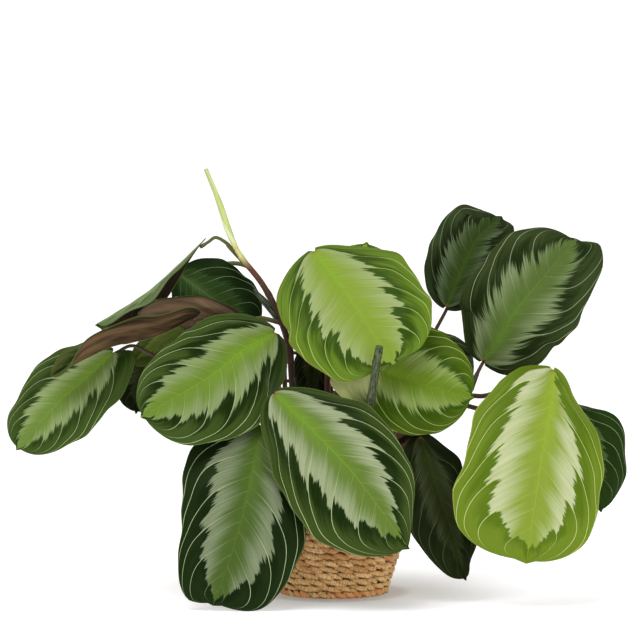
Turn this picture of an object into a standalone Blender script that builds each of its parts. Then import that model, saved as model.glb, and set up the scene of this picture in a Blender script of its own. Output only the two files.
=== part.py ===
"""Silver-banded prayer plant in a braided basket planter.

A clump of leafy stems grows in a nursery pot of soil, and the pot stands in a tapered basket of braided
rows. Every blade is a thin arched solid that follows its own midrib. The planter's base centre is the
origin, +Z is up, and the plant's display side faces -Y. Lengths are in metres; the hand-set lists of
points and half widths are in millimetres and go through MM.
"""

import math

import bmesh
import bpy
from mathutils import Vector

MM = 0.001
CLEARANCE = 0.3 * MM

# Basket: a tapered wall of braided rows on a flat woven bottom
BASKET_HEIGHT = 98 * MM
BASKET_RIM_RADIUS = 62.5 * MM
BASKET_TAPER = 24.5 * MM
BASKET_CURVE = 1.3
BASKET_WALL = 5 * MM
BASKET_LIP = (0.25, 0.8)
BASKET_INSIDE = (0.9, 0.6, 0.3)
BASKET_ROWS = 21
BASKET_STRANDS = 22
ROW_GROOVE = 0.9 * MM
STRAND_RELIEF = 0.7 * MM
STRAND_DIP = 0.28 * MM
BOTTOM_ROUNDING = 3 * MM

# Nursery pot inside the basket, and the soil inside the pot
POT_HEIGHT = 91 * MM
POT_BASE_RADIUS = 32.5 * MM
POT_RIM_RADIUS = 54.5 * MM
POT_WALL = 1.4 * MM
POT_LIP = 1.2 * MM
POT_LIP_HEIGHT = 4 * MM
POT_SIDES = 32
SOIL_TOP = 87 * MM
SOIL_RELIEF = 0.8 * MM
SOIL_SIDES = 28
SOIL_RINGS = 4
LUMP_LENGTH_X = 30 * MM
LUMP_LENGTH_Y = 33 * MM
SWELL_LENGTH_X = 70 * MM
SWELL_LENGTH_Y = 48 * MM
SWELL_SHARE = 0.6
HOLE_DEPTH = 18 * MM
HOLE_PLAY = 0.6 * MM
HOLE_SIDES = 12

# Leaves and stems
BLADE_THICKNESS = 0.9 * MM
BLADE_STEPS = 10
BLADE_HALF_STRIPS = 3
RIB_STEPS = 8
WAVE_SHIFT = 1.9
BEND_ASPECT = 0.4
TIP_POINT = 2 * MM
CANE_RADIUS = 2.6 * MM
CANE_TOP_RADIUS = 1.9 * MM
PETIOLE_RADIUS = 1.5 * MM
PETIOLE_TIP_RADIUS = 1.1 * MM
CANE_SIDES = 8
PETIOLE_SIDES = 6
PETIOLE_JOIN = 0.05
PETIOLE_APPROACH = 7 * MM
APPROACH_DROP = 1.5 * MM
ABOVE_SOIL = 2 * MM
STAKE_RADIUS = 2.9 * MM
STAKE_SIDES = 10
STAKE_SWELL = ((0.0, 1.0), (0.35, 1.0), (0.62, 1.0), (0.66, 1.12), (0.70, 1.0), (0.97, 0.96), (1.0, 0.86))
SHARP_ANGLE = math.radians(50)

# Name, colour, roughness and metallic value of each finish
GREEN = ("leaf_green", (0.045, 0.115, 0.025), 0.42, 0.0)
LIGHT_GREEN = ("leaf_light_green", (0.17, 0.30, 0.045), 0.42, 0.0)
DARK_GREEN = ("leaf_dark_green", (0.022, 0.055, 0.018), 0.40, 0.0)
MAROON = ("leaf_maroon", (0.10, 0.055, 0.04), 0.5, 0.0)
STEM = ("stem_brown", (0.11, 0.075, 0.04), 0.5, 0.0)
SHOOT = ("shoot_yellow_green", (0.42, 0.50, 0.16), 0.45, 0.0)
STRAW = ("braided_straw", (0.40, 0.22, 0.10), 0.8, 0.0)
BLACK_PLASTIC = ("black_plastic", (0.012, 0.012, 0.013), 0.45, 0.0)
EARTH = ("earth", (0.035, 0.022, 0.015), 0.95, 0.0)
GREY_WOOD = ("grey_wood", (0.085, 0.10, 0.085), 0.7, 0.0)

FRONT = (0, -1, 0.3)


def in_metres(points):
    """Vectors from a hand-set list of points in millimetres."""
    return [Vector(point) * MM for point in points]


class Leaf:
    """One blade: its midrib from base to tip, its half widths and the way its upper face looks.

    wide holds the half widths on the two sides, the first on the left of someone who looks at the upper
    face with the tip up, and widest where along the midrib each side is that wide. face and tip_face are
    the directions that the upper face looks in at the base and at the tip, and a twist above 1 keeps the
    turn from one to the other for the tip. fold is the angle in degrees by which both halves rise from the
    midrib, and droop is how far the margins then fall back, as a share of the half width. round_base and
    round_tip hold 2 for an elliptic end and more for a blunter one. Each of the bends moves the blade
    round one place: it holds the place along and across, its size and the shift.
    """

    def __init__(self, name, rib, wide, face=FRONT, tip_face=None, twist=1, widest=(0.45, 0.45),
                 fold=10, droop=0.22, wave=1.6, waves=2.5, round_base=(2.1, 2.1), round_tip=(2.2, 2.2),
                 lobe=3.0, bends=(), finish=GREEN):
        self.name = name
        self.rib = in_metres(rib)
        self.wide = [width * MM for width in wide]
        self.widest = widest
        self.face = Vector(face).normalized()
        self.tip_face = Vector(tip_face or face).normalized()
        self.twist = twist
        self.fold = math.radians(fold)
        self.droop = droop
        self.wave = wave * MM
        self.waves = waves
        self.round_base = round_base
        self.round_tip = round_tip
        self.lobe = lobe * MM
        self.bends = [(place, size, Vector(shift) * MM) for place, size, shift in bends]
        self.finish = finish


LEAVES = [
    # Front of the clump
    Leaf("leaf_front_centre", [(-40, -60, 143), (-12, -84, 118), (12, -98, 93), (49, -110, 45)],
         (41, 47), face=(0.1, -1, 0.4), tip_face=(0.1, -1, 0.1), widest=(0.3, 0.55), round_tip=(1.35, 2.4),
         fold=8, bends=(((0.10, -0.9), 0.14, (-2, 0, -6)), ((0.66, -1), 0.24, (9, 0, 2)),
                        ((0.20, 1), 0.16, (6, 0, 2)), ((0.96, 0.9), 0.12, (3, 0, 3)),
                        ((0.25, -1), 0.16, (0, 0, -4)))),
    Leaf("leaf_front_low", [(-50, -50, 121), (-56, -76, 86), (-66, -92, 46), (-80, -98, 6)],
         (45, 40), face=(0, -1, 0.5), tip_face=(-0.1, -1, 0.05), widest=(0.55, 0.5), round_base=(2.1, 2.5),
         round_tip=(2.5, 2.5), finish=DARK_GREEN,
         bends=(((0.28, 1), 0.20, (-9, 0, 4)), ((0.97, 0.9), 0.10, (-2, 0, -7)),
                ((0.88, 1), 0.12, (-1, 0, -1)), ((0.93, -0.9), 0.12, (3, 0, -3)))),
    Leaf("leaf_front_left", [(-41, -16, 183), (-62, -36, 172), (-84, -56, 155), (-128, -84, 130)],
         (47, 36), face=(0, -1, 0.15), tip_face=(-0.1, -1, 0.2),
         bends=(((0.08, 0.9), 0.12, (0, 0, -3)), ((0.32, -1), 0.15, (-4, 0, 2)))),
    Leaf("leaf_front_top", [(-13, 0, 239), (11, -28, 208), (28, -46, 182), (40, -54, 165)],
         (49, 57), face=(0, -1, 0.5), tip_face=(0.1, -1, 0.1), widest=(0.52, 0.6),
         round_base=(1.9, 2.1), round_tip=(2.7, 2.7),
         bends=(((0.05, -0.8), 0.12, (0, 0, -3)), ((0.95, -0.8), 0.12, (5, 0, -3)),
                ((0.75, 1), 0.20, (6, 0, 5)), ((0.40, 1), 0.15, (4, 0, 0))), finish=LIGHT_GREEN),
    Leaf("leaf_centre_right", [(13, -28, 160), (33, -32, 157), (65, -40, 147), (94, -48, 140)],
         (41, 38), face=(0, -1, 0.4), tip_face=(0.2, -1, 0.2),
         bends=(((0.48, -1), 0.15, (0, 0, 2)), ((0.08, 0.9), 0.16, (-15, 0, 7))), finish=LIGHT_GREEN),
    Leaf("leaf_right_low", [(151, -40, 158), (149, -56, 140), (141, -76, 104), (129, -96, 34)],
         (44, 56), face=(0, -1, 0.5), tip_face=(0, -1, 0.05), widest=(0.6, 0.62),
         round_base=(1.6, 2.1), round_tip=(2.7, 2.7),
         bends=(((0.11, -0.9), 0.12, (-7, 0, -5)), ((0.06, 0.8), 0.12, (-1, 0, 6)),
                ((0.96, -0.7), 0.10, (-5, 0, 4)), ((0.52, 1), 0.16, (3, 0, 0)),
                ((0.93, 0.85), 0.14, (-4, 0, 0))), finish=LIGHT_GREEN),
    Leaf("leaf_right_upright", [(106, 2, 163), (118, -4, 181), (130, -6, 201), (169, 4, 246)],
         (41, 41), face=(-0.1, -1, 0.1), tip_face=(0.1, -1, 0.4), widest=(0.48, 0.55), round_tip=(2.6, 2.6),
         bends=(((0.04, -0.8), 0.12, (0, 0, -5)), ((0.04, 0.8), 0.12, (0, 0, -4)),
                ((0.97, 0.8), 0.13, (8, 0, 9)), ((0.75, 1), 0.18, (-4, 0, 1))), finish=DARK_GREEN),
    Leaf("leaf_right_back", [(81, 32, 200), (92, 34, 227), (103, 38, 248), (119, 44, 262)],
         (31, 26), face=(-0.2, -1, 0.2), tip_face=(0, -1, 0.4), widest=(0.6, 0.5), round_tip=(2.5, 2.5),
         bends=(((0.60, -1), 0.20, (3, 0, 0)), ((0.95, -0.7), 0.10, (2, 0, -13)),
                ((0.97, 0.8), 0.12, (5, 0, 2))), finish=DARK_GREEN),
    Leaf("leaf_right_outer", [(152, -6, 136), (168, -12, 120), (181, -16, 92), (186, -18, 60)],
         (26, 28), face=(0.2, -1, 0.4), tip_face=(0.3, -1, 0.1),
         bends=(((0.48, -1), 0.16, (4, 0, 2)), ((0.90, -1), 0.12, (-1, 0, 2)),
                ((0.14, -1), 0.14, (-4, 0, -7)))),
    Leaf("leaf_centre_low", [(60, -38, 112), (70, -48, 80), (80, -54, 50), (90, -56, 17)],
         (19, 24), face=(0.2, -1, 0.3), tip_face=(0.2, -1, 0.05),
         bends=(((0.24, -1), 0.12, (4, 0, 3)), ((0.65, 1), 0.18, (-4, 0, 1)),
                ((0.94, -0.9), 0.10, (-4, 0, 2)), ((0.05, -0.5), 0.12, (2, 0, -6))),
         finish=DARK_GREEN),
    Leaf("leaf_centre_back", [(42, 4, 152), (62, 10, 160), (80, 14, 160), (98, 16, 150)],
         (26, 26), face=(0.3, -1, 0.5), tip_face=(0.3, -0.8, 0.5), finish=DARK_GREEN),
    Leaf("leaf_centre_dark", [(-10, 24, 172), (-12, 28, 164), (-14, 31, 152), (-15, 32, 134)],
         (15, 15), face=(0, -1, 0.2), wave=0.8, lobe=1.5, finish=DARK_GREEN),
    Leaf("leaf_left_outer", [(-153, -20, 169), (-171, -31, 152), (-189, -43, 136), (-215, -55, 106)],
         (32, 30), face=(0, -1, 0.8), tip_face=(-0.2, -1, 0.4),
         bends=(((0.30, 1), 0.14, (0, 0, 5)), ((0.06, -0.9), 0.14, (6, 0, 10)))),
    Leaf("leaf_left_dark", [(-126, 6, 170), (-132, 4, 154), (-136, 2, 140), (-138, 0, 127)],
         (18, 18), face=(-0.1, -1, 0.2), wave=0.8, lobe=1.5, finish=DARK_GREEN),
    Leaf("leaf_left_small", [(-104, -11, 185), (-117, -11, 178), (-129, -10, 170), (-140, -9, 162)],
         (12, 11), face=(0, -1, 0.4), wave=0.4, lobe=0.5, finish=LIGHT_GREEN),
    Leaf("leaf_left_long", [(-94, -22, 195), (-124, -32, 181), (-155, -42, 174), (-192, -54, 155)],
         (20, 20), face=(0, 0.35, 1), tip_face=(-0.3, -0.9, 0.2), twist=4, fold=50, droop=0.15,
         bends=(((0.84, 1), 0.18, (1, 0, -2)),), finish=MAROON),
    Leaf("leaf_left_folded", [(-66, 0, 190), (-90, -2, 192), (-112, -3, 193), (-138, -4, 189)],
         (17, 12), face=(0, 0.9, 0.3), fold=8, finish=MAROON),
    Leaf("leaf_left_back", [(-109, 52, 221), (-98, 54, 213), (-82, 54, 201), (-56, 50, 182)],
         (29, 28), face=(0, -1, 0.2), tip_face=(0.2, -1, 0.2), finish=DARK_GREEN),
    Leaf("leaf_left_high", [(-92, 24, 246), (-112, 23, 227), (-133, 21, 209), (-166, 16, 188)],
         (21, 28), face=(0, 0.45, 1), tip_face=(-0.2, 0.45, 1), widest=(0.65, 0.78), round_base=(1.3, 0.8),
         round_tip=(2.4, 2.8), fold=-36, droop=0.1),
    # Back of the clump
    Leaf("leaf_back_top", [(14, 18, 178), (16, 36, 200), (19, 50, 222), (24, 62, 243)],
         (34, 34), face=(0, -0.9, 0.5), tip_face=(0, -0.5, 0.8), fold=8),
    Leaf("leaf_back_left", [(-44, 36, 150), (-62, 58, 150), (-84, 78, 136), (-104, 92, 110)],
         (36, 38), face=(0, 0.8, 0.6), tip_face=(-0.2, 1, 0.2)),
    Leaf("leaf_back_low", [(-8, 62, 138), (-12, 84, 122), (-18, 100, 90), (-22, 104, 52)],
         (38, 38), face=(0, 0.8, 0.6), tip_face=(0, 1, 0.1), finish=DARK_GREEN),
    Leaf("leaf_back_right", [(32, 50, 140), (40, 68, 131), (46, 82, 108), (48, 90, 76)],
         (28, 26), face=(0, 0.8, 0.6), tip_face=(0.2, 1, 0.2)),
    Leaf("leaf_back_high", [(-36, 56, 170), (-58, 80, 172), (-84, 98, 162), (-108, 106, 140)],
         (30, 32), face=(0, 0.7, 0.7), tip_face=(-0.3, 1, 0.4), finish=LIGHT_GREEN),
]
BLADES = {leaf.name: leaf for leaf in LEAVES}

# Each leafy stem: where it leaves the soil, the way it climbs, and the petioles that leave it. A petiole
# starts at a share of the stem's climb and passes through its own points to the blade that it carries.
CANES = {
    "stem_tall": {
        "foot": (-24, 2),
        "climb": [(-27, 3, 120), (-29, 5, 150), (-31, 7, 172), (-39, 9, 196), (-50, 13, 216),
                  (-62, 16, 231), (-68, 18, 240)],
        "petioles": {
            "leaf_left_high": (0.87, [(-71.5, 22, 240), (-76, 23, 245), (-83, 24, 248.5)]),
            "leaf_left_back": (0.80, [(-62, 46, 228), (-82, 71, 229), (-99, 69, 226)]),
            "leaf_left_folded": (0.62, [(-52, 8, 192)]),
        },
    },
    "stem_left": {
        "foot": (-30, 14),
        "climb": [(-42, 16, 108), (-56, 14, 128), (-70, 8, 146), (-84, 4, 158)],
        "petioles": {
            "leaf_left_long": (0.85, [(-80, -12, 178)]),
            "leaf_left_outer": (0.95, [(-104, -10, 158), (-124, -22, 167), (-139, -22, 174)]),
            "leaf_left_dark": (0.90, [(-104, 10, 166)]),
            "leaf_left_small": (0.97, [(-92, 0, 168), (-101, -7, 180)]),
        },
    },
    "stem_front": {
        "foot": (-22, -26),
        "climb": [(-26, -28, 104), (-31, -30, 118), (-35, -28, 130)],
        "petioles": {
            "leaf_front_left": (0.85, [(-34, -14, 158), (-35, -10, 176)]),
            "leaf_front_centre": (0.80, [(-30, -46, 134), (-38, -54, 142)]),
            "leaf_front_low": (0.55, [(-40, -38, 122)]),
        },
    },
    "stem_centre": {
        "foot": (-4, 6),
        "climb": [(-4, 8, 110), (-4, 10, 135), (-4, 12, 160)],
        "petioles": {
            "leaf_front_top": (0.95, [(-8, 16, 190), (-14, 18, 222), (-17, 13, 236)]),
            "leaf_back_top": (0.90, [(4, 14, 168)]),
            "leaf_centre_dark": (0.70, [(-3, 18, 160), (-5, 20, 174)]),
        },
    },
    "stem_right": {
        "foot": (20, -4),
        "climb": [(30, -8, 98), (48, -14, 108), (70, -14, 120), (88, -10, 132), (97, -6, 144)],
        "petioles": {
            "leaf_right_upright": (0.995, [(101, -2, 154)]),
            "leaf_right_low": (0.93, [(110, -14, 140), (134, -26, 156)]),
            "leaf_right_outer": (0.85, [(112, -4, 128), (134, 0, 136)]),
        },
    },
    "stem_right_tall": {
        "foot": (26, 16),
        "climb": [(34, 22, 110), (50, 36, 138), (64, 42, 164)],
        "petioles": {
            "leaf_right_back": (0.98, [(73, 38, 182)]),
            "leaf_centre_back": (0.40, [(38, 16, 142)]),
        },
    },
    "stem_low": {
        "foot": (12, -24),
        "climb": [(13, -24, 104), (14, -24, 120), (13, -24, 136)],
        "petioles": {
            "leaf_centre_right": (0.95, [(8, -24, 152)]),
            "leaf_centre_low": (0.35, [(30, -28, 116), (50, -34, 120)]),
        },
    },
    "stem_back": {
        "foot": (4, 30),
        "climb": [(2, 34, 108), (0, 38, 126), (-2, 42, 142)],
        "petioles": {
            "leaf_back_left": (0.80, [(-20, 38, 144)]),
            "leaf_back_low": (0.90, [(-6, 52, 142)]),
            "leaf_back_right": (0.70, [(14, 43, 136)]),
            "leaf_back_high": (0.97, [(-18, 46, 162)]),
        },
    },
}

# The rolled young leaf on the end of the tall stem and the furled one beside it, with their radii in
# millimetres from the base to the tip, and the stake
SHOOT_ROUTE = [(-74, 19, 254), (-81, 20, 275), (-90, 20, 297)]
SHOOT_RADII = (1.9, 2.6, 2.2, 1.5)
FURLED_ROUTE = [(-37.2, 11.2, 187), (-41, 14, 194), (-48, 17, 203), (-56, 19, 212)]
FURLED_RADII = (1.0, 2.4, 2.6, 0.8)
STAKE_FOOT = (17, -43)
STAKE_TOP = (31, -70, 176)


def spread(first, last, count):
    """Evenly spaced values from the first to the last."""
    return [first + (last - first) * index / (count - 1) for index in range(count)]


def smooth_route(points, steps):
    """A Catmull-Rom curve through the points, as a list with the given number of steps in each span."""
    padded = [2 * points[0] - points[1], *points, 2 * points[-1] - points[-2]]
    route = []
    for before, start, end, after in zip(padded, padded[1:], padded[2:], padded[3:]):
        for step in range(steps):
            t = step / steps
            route.append(0.5 * (2 * start + (end - before) * t
                                + (2 * before - 5 * start + 4 * end - after) * t ** 2
                                + (3 * start - before - 3 * end + after) * t ** 3))
    route.append(points[-1].copy())
    return route


def point_along(route, share):
    """The point and the direction at a share of a route's length."""
    lengths = [(b - a).length for a, b in zip(route, route[1:])]
    left = share * sum(lengths)
    for a, b, length in zip(route, route[1:], lengths):
        if left <= length:
            return a.lerp(b, left / length), (b - a).normalized()
        left -= length
    return route[-1].copy(), (route[-1] - route[-2]).normalized()


def blade_frame(leaf, route, u):
    """The midrib's point at u with the blade's three directions there: along, across and facing."""
    centre, along = point_along(route, u)
    facing = leaf.face.lerp(leaf.tip_face, u ** leaf.twist)
    across = along.cross(facing).normalized()
    return centre, along, across, across.cross(along)


def blade_outline(leaf, u, side):
    """One side's half width at u, as a share of its widest: two quarter ovals that meet there."""
    widest = leaf.widest[side]
    if u < widest:
        reach, power = (widest - u) / widest, leaf.round_base[side]
    else:
        reach, power = (u - widest) / (1 - widest), leaf.round_tip[side]
    return max(0.0, 1 - reach ** power) ** (1 / power)


def blade_point(leaf, route, u, v):
    """A point of the blade's middle surface: u from base to tip, v from -1 at one margin to 1."""
    centre, along, across, facing = blade_frame(leaf, route, u)
    side = abs(v)
    outline = blade_outline(leaf, u, v > 0)
    half = leaf.wide[v > 0] * outline
    reach = half * v * math.cos(leaf.fold)
    lift = half * (math.sin(leaf.fold) * side - leaf.droop * side ** 2)
    phase = 0.0 if v > 0 else WAVE_SHIFT
    lift += leaf.wave * outline * side ** 2 * math.sin(2 * math.pi * leaf.waves * u + phase)
    back = leaf.lobe * (1 - u) ** 6 * side ** 2
    point = centre + across * reach + facing * lift - along * back
    for (bend_u, bend_v), size, shift in leaf.bends:
        away = math.hypot(u - bend_u, BEND_ASPECT * (v - bend_v)) / size
        point = point + shift * math.exp(-away ** 2)
    return point


def material(finish):
    """One plain material for each finish, made the first time it is asked for."""
    name, colour, roughness, metallic = finish
    found = bpy.data.materials.get(name)
    if found:
        return found
    made = bpy.data.materials.new(name)
    made.use_nodes = True
    shader = made.node_tree.nodes["Principled BSDF"]
    shader.inputs["Base Color"].default_value = (*colour, 1.0)
    shader.inputs["Roughness"].default_value = roughness
    shader.inputs["Metallic"].default_value = metallic
    made.diffuse_color = (*colour, 1.0)
    return made


def mesh_object(name, points, faces, finish):
    """An object from points and faces, with its faces turned out."""
    mesh = bpy.data.meshes.new(name)
    mesh.from_pydata([tuple(point) for point in points], [], faces)
    shape = bmesh.new()
    shape.from_mesh(mesh)
    bmesh.ops.recalc_face_normals(shape, faces=shape.faces)
    shape.to_mesh(mesh)
    shape.free()
    mesh.shade_smooth()
    mesh.set_sharp_from_angle(angle=SHARP_ANGLE)
    mesh.materials.append(material(finish))
    made = bpy.data.objects.new(name, mesh)
    bpy.context.scene.collection.objects.link(made)
    return made


def baked(shaped):
    """Puts an object's evaluated mesh in the place of its own, without modifiers."""
    graph = bpy.context.evaluated_depsgraph_get()
    mesh = bpy.data.meshes.new_from_object(shaped.evaluated_get(graph))
    shaped.modifiers.clear()
    shaped.data = mesh
    return shaped


def combined(first, others, operation):
    """One Boolean of an object with a collection of others, which are then removed."""
    helpers = bpy.data.collections.new("helpers")
    bpy.context.scene.collection.children.link(helpers)
    for other in others:
        helpers.objects.link(other)
    change = first.modifiers.new("combine", "BOOLEAN")
    change.operation = operation
    change.solver = "EXACT"
    change.operand_type = "COLLECTION"
    change.collection = helpers
    baked(first)
    for other in others:
        bpy.data.objects.remove(other)
    bpy.data.collections.remove(helpers)
    return first


def tube(name, route, radii, sides, finish):
    """A closed tube along a route, with the given radius at each of its points."""
    points = []
    side = Vector((1, 0, 0))
    for index, centre in enumerate(route):
        ahead = route[min(index + 1, len(route) - 1)] - route[max(index - 1, 0)]
        along = ahead.normalized()
        side = (side - along * side.dot(along)).normalized()
        across = along.cross(side)
        for turn in range(sides):
            angle = 2 * math.pi * turn / sides
            points.append(centre + (side * math.cos(angle) + across * math.sin(angle)) * radii[index])
    faces = []
    for ring in range(len(route) - 1):
        for turn in range(sides):
            after = (turn + 1) % sides
            faces.append((ring * sides + turn, ring * sides + after,
                          (ring + 1) * sides + after, (ring + 1) * sides + turn))
    faces.append(tuple(range(sides))[::-1])
    faces.append(tuple(range(len(points) - sides, len(points))))
    return mesh_object(name, points, faces, finish)


def turned(name, profile, sides, finish, radius_at=None):
    """A closed body turned about Z from a closed profile of (radius, height), axis points at radius 0."""
    points = []
    rings = []
    for index, (radius, height) in enumerate(profile):
        if radius == 0:
            rings.append([len(points)])
            points.append(Vector((0, 0, height)))
            continue
        rings.append(list(range(len(points), len(points) + sides)))
        for turn in range(sides):
            angle = 2 * math.pi * turn / sides
            here = radius_at(index, turn, radius) if radius_at else radius
            points.append(Vector((here * math.cos(angle), here * math.sin(angle), height)))
    faces = []
    for lower, upper in zip(rings, rings[1:] + rings[:1]):
        if len(lower) == 1 and len(upper) == 1:
            continue
        for turn in range(sides):
            after = (turn + 1) % sides
            corners = [lower[turn % len(lower)], lower[after % len(lower)],
                       upper[after % len(upper)], upper[turn % len(upper)]]
            faces.append(tuple(dict.fromkeys(corners)))
    return mesh_object(name, points, faces, finish)


def basket_radius(height):
    """The basket's outer radius at a height, without its relief."""
    share = max(0.0, 1 - height / BASKET_HEIGHT)
    return BASKET_RIM_RADIUS - BASKET_TAPER * share ** BASKET_CURVE


def make_basket():
    """The braided basket: every row bulges, and its strands stand out in turn round it."""
    pitch = BASKET_HEIGHT / BASKET_ROWS
    sides = 2 * BASKET_STRANDS
    profile = [(0, 0), (basket_radius(0) - BOTTOM_ROUNDING, 0)]
    crests = {}
    for row in range(BASKET_ROWS):
        crest = (row + 0.5) * pitch
        crests[len(profile)] = row
        profile.append((basket_radius(crest), crest))
        if row < BASKET_ROWS - 1:
            profile.append((basket_radius(crest + pitch / 2) - ROW_GROOVE, crest + pitch / 2))
    profile += [(BASKET_RIM_RADIUS - share * BASKET_WALL, BASKET_HEIGHT) for share in BASKET_LIP]
    for share in BASKET_INSIDE:
        profile.append((basket_radius(share * BASKET_HEIGHT) - BASKET_WALL, share * BASKET_HEIGHT))
    profile.append((basket_radius(BASKET_WALL) - BASKET_WALL, BASKET_WALL))
    profile.append((0, BASKET_WALL))

    def strand(index, turn, radius):
        if index not in crests:
            return radius
        return radius + (STRAND_RELIEF if (turn + crests[index]) % 2 else -STRAND_DIP)

    return turned("basket", profile, sides, STRAW, strand)


def pot_radius(height):
    """The nursery pot's outer radius at a height above its own base."""
    return POT_BASE_RADIUS + (POT_RIM_RADIUS - POT_BASE_RADIUS) * height / POT_HEIGHT


def make_pot():
    """The thin plastic pot, standing on the basket's bottom."""
    floor = BASKET_WALL + CLEARANCE
    inner_floor = floor + POT_WALL
    top = floor + POT_HEIGHT
    below_lip = pot_radius(POT_HEIGHT - POT_LIP_HEIGHT)
    profile = [
        (0, floor),
        (POT_BASE_RADIUS, floor),
        (below_lip, top - POT_LIP_HEIGHT),
        (below_lip + POT_LIP, top - POT_LIP_HEIGHT),
        (POT_RIM_RADIUS + POT_LIP, top),
        (POT_RIM_RADIUS - POT_WALL, top),
        (POT_BASE_RADIUS - POT_WALL, inner_floor),
        (0, inner_floor),
    ]
    return turned("nursery_pot", profile, POT_SIDES, BLACK_PLASTIC)


def soil_height(x, y):
    """The height of the soil's lumpy surface: short lumps on a long swell."""
    lumps = math.sin(math.tau * x / LUMP_LENGTH_X + 1) * math.cos(math.tau * y / LUMP_LENGTH_Y)
    swell = SWELL_SHARE * math.sin(math.tau * (x / SWELL_LENGTH_X - y / SWELL_LENGTH_Y))
    return SOIL_TOP + SOIL_RELIEF * (lumps + swell)


def make_soil(feet):
    """The soil: a body that fills the pot, with a plain hole for every stem and for the stake."""
    floor = BASKET_WALL + CLEARANCE + POT_WALL + CLEARANCE
    lowest = POT_BASE_RADIUS - POT_WALL - 2 * CLEARANCE
    widest = pot_radius(SOIL_TOP - BASKET_WALL) - POT_WALL - 3 * CLEARANCE
    profile = [(0, floor), (lowest, floor), (widest, SOIL_TOP - SOIL_RELIEF * (1 + SWELL_SHARE))]
    profile += [(widest * share / SOIL_RINGS, SOIL_TOP) for share in range(SOIL_RINGS - 1, 0, -1)]
    profile.append((0, SOIL_TOP))
    soil = turned("soil", profile, SOIL_SIDES, EARTH)
    for vertex in soil.data.vertices:
        if vertex.co.z > SOIL_TOP - SOIL_RELIEF:
            vertex.co.z = soil_height(vertex.co.x, vertex.co.y)
    holes = []
    for index, (x, y, radius, lean) in enumerate(feet):
        bottom = Vector((x, y, SOIL_TOP - HOLE_DEPTH))
        top = bottom + lean * 1.5 * HOLE_DEPTH / lean.z
        holes.append(tube("hole_%d" % index, [bottom, top], [radius, radius], HOLE_SIDES, EARTH))
    return combined(soil, holes, "DIFFERENCE")


def make_blade(leaf):
    """A leaf's blade: the same triangles on its upper and its lower face, and a band round the margin."""
    route = smooth_route(leaf.rib, RIB_STEPS)
    rows = [(1 - math.cos(math.pi * step / BLADE_STEPS)) / 2 for step in range(BLADE_STEPS + 1)]
    strips = [index / BLADE_HALF_STRIPS for index in range(-BLADE_HALF_STRIPS, BLADE_HALF_STRIPS + 1)]
    grid = [[(row, strip) for strip in strips] for row in rows[1:-1]]
    places = [(0.0, 0.0)] + [place for line in grid for place in line] + [(1.0, 0.0)]
    middle = [blade_point(leaf, route, u, v) for u, v in places]
    middle[-1] += point_along(route, 1.0)[1] * TIP_POINT
    across = len(strips)
    last = len(places) - 1
    triangles = []
    for cell in range(across - 1):
        triangles.append((0, 1 + cell, 2 + cell))
        end = last - across + cell
        triangles.append((last, end + 1, end))
    for line in range(len(grid) - 1):
        for cell in range(across - 1):
            a = 1 + line * across + cell
            b, c, d = a + 1, a + across + 1, a + across
            triangles += [(a, d, c), (a, c, b)] if cell < BLADE_HALF_STRIPS else [(a, d, b), (b, d, c)]
    normals = [Vector((0, 0, 0)) for _ in middle]
    for a, b, c in triangles:
        normal = (middle[b] - middle[a]).cross(middle[c] - middle[a])
        for corner in (a, b, c):
            normals[corner] += normal
    offset = BLADE_THICKNESS / 2
    upper = [point + normal.normalized() * offset for point, normal in zip(middle, normals)]
    lower = [point - normal.normalized() * offset for point, normal in zip(middle, normals)]
    margin = ([0] + [1 + line * across for line in range(len(grid))] + [last]
              + [line * across for line in range(len(grid), 0, -1)])
    count = len(middle)
    faces = list(triangles) + [(c + count, b + count, a + count) for a, b, c in triangles]
    for a, b in zip(margin, margin[1:] + margin[:1]):
        faces += [(a, b, b + count), (a, b + count, a + count)]
    return mesh_object(leaf.name, upper + lower, faces, leaf.finish)


def petiole_end(leaf):
    """Where a petiole meets the underside of its blade, and the blade's directions there."""
    route = smooth_route(leaf.rib, RIB_STEPS)
    centre, along, _, facing = blade_frame(leaf, route, PETIOLE_JOIN)
    drop = BLADE_THICKNESS / 2 + 2 * CLEARANCE + PETIOLE_TIP_RADIUS
    return centre - facing * drop, along, facing


def make_cane(name, cane):
    """One leafy stem with its petioles, fused into one body."""
    foot = Vector((*cane["foot"], 0)) * MM
    ground = foot + Vector((0, 0, SOIL_TOP + ABOVE_SOIL))
    bottom = foot + Vector((0, 0, SOIL_TOP - HOLE_DEPTH + CLEARANCE))
    climb = smooth_route([ground] + in_metres(cane["climb"]), 2)
    radii = [CANE_RADIUS] + spread(CANE_RADIUS, CANE_TOP_RADIUS, len(climb))
    stem = tube(name, [bottom] + climb, radii, CANE_SIDES, STEM)
    branches = []
    for blade, (share, way) in cane["petioles"].items():
        start, _ = point_along(climb, share)
        end, along, facing = petiole_end(BLADES[blade])
        before_end = end - along * PETIOLE_APPROACH - facing * APPROACH_DROP
        line = smooth_route([start] + in_metres(way) + [before_end, end], 2)
        sizes = spread(PETIOLE_RADIUS, PETIOLE_TIP_RADIUS, len(line))
        branches.append(tube(blade + "_petiole", line, sizes, PETIOLE_SIDES, STEM))
    return combined(stem, branches, "UNION")


def make_rolled(name, route, radii, finish):
    """A young leaf that is still rolled up: a slender body with one given radius at each route point."""
    steps = 3
    sizes = []
    for start, end in zip(radii, radii[1:]):
        sizes += spread(start * MM, end * MM, steps + 1)[:-1]
    sizes.append(radii[-1] * MM)
    return tube(name, smooth_route(route, steps), sizes, CANE_SIDES, finish)


def shoot_route():
    """The rolled leaf's route: it stands on the end of the tall stem."""
    below, top = in_metres(CANES["stem_tall"]["climb"][-2:])
    seat = top + (top - below).normalized() * 2 * CLEARANCE
    return [seat] + in_metres(SHOOT_ROUTE)


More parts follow.
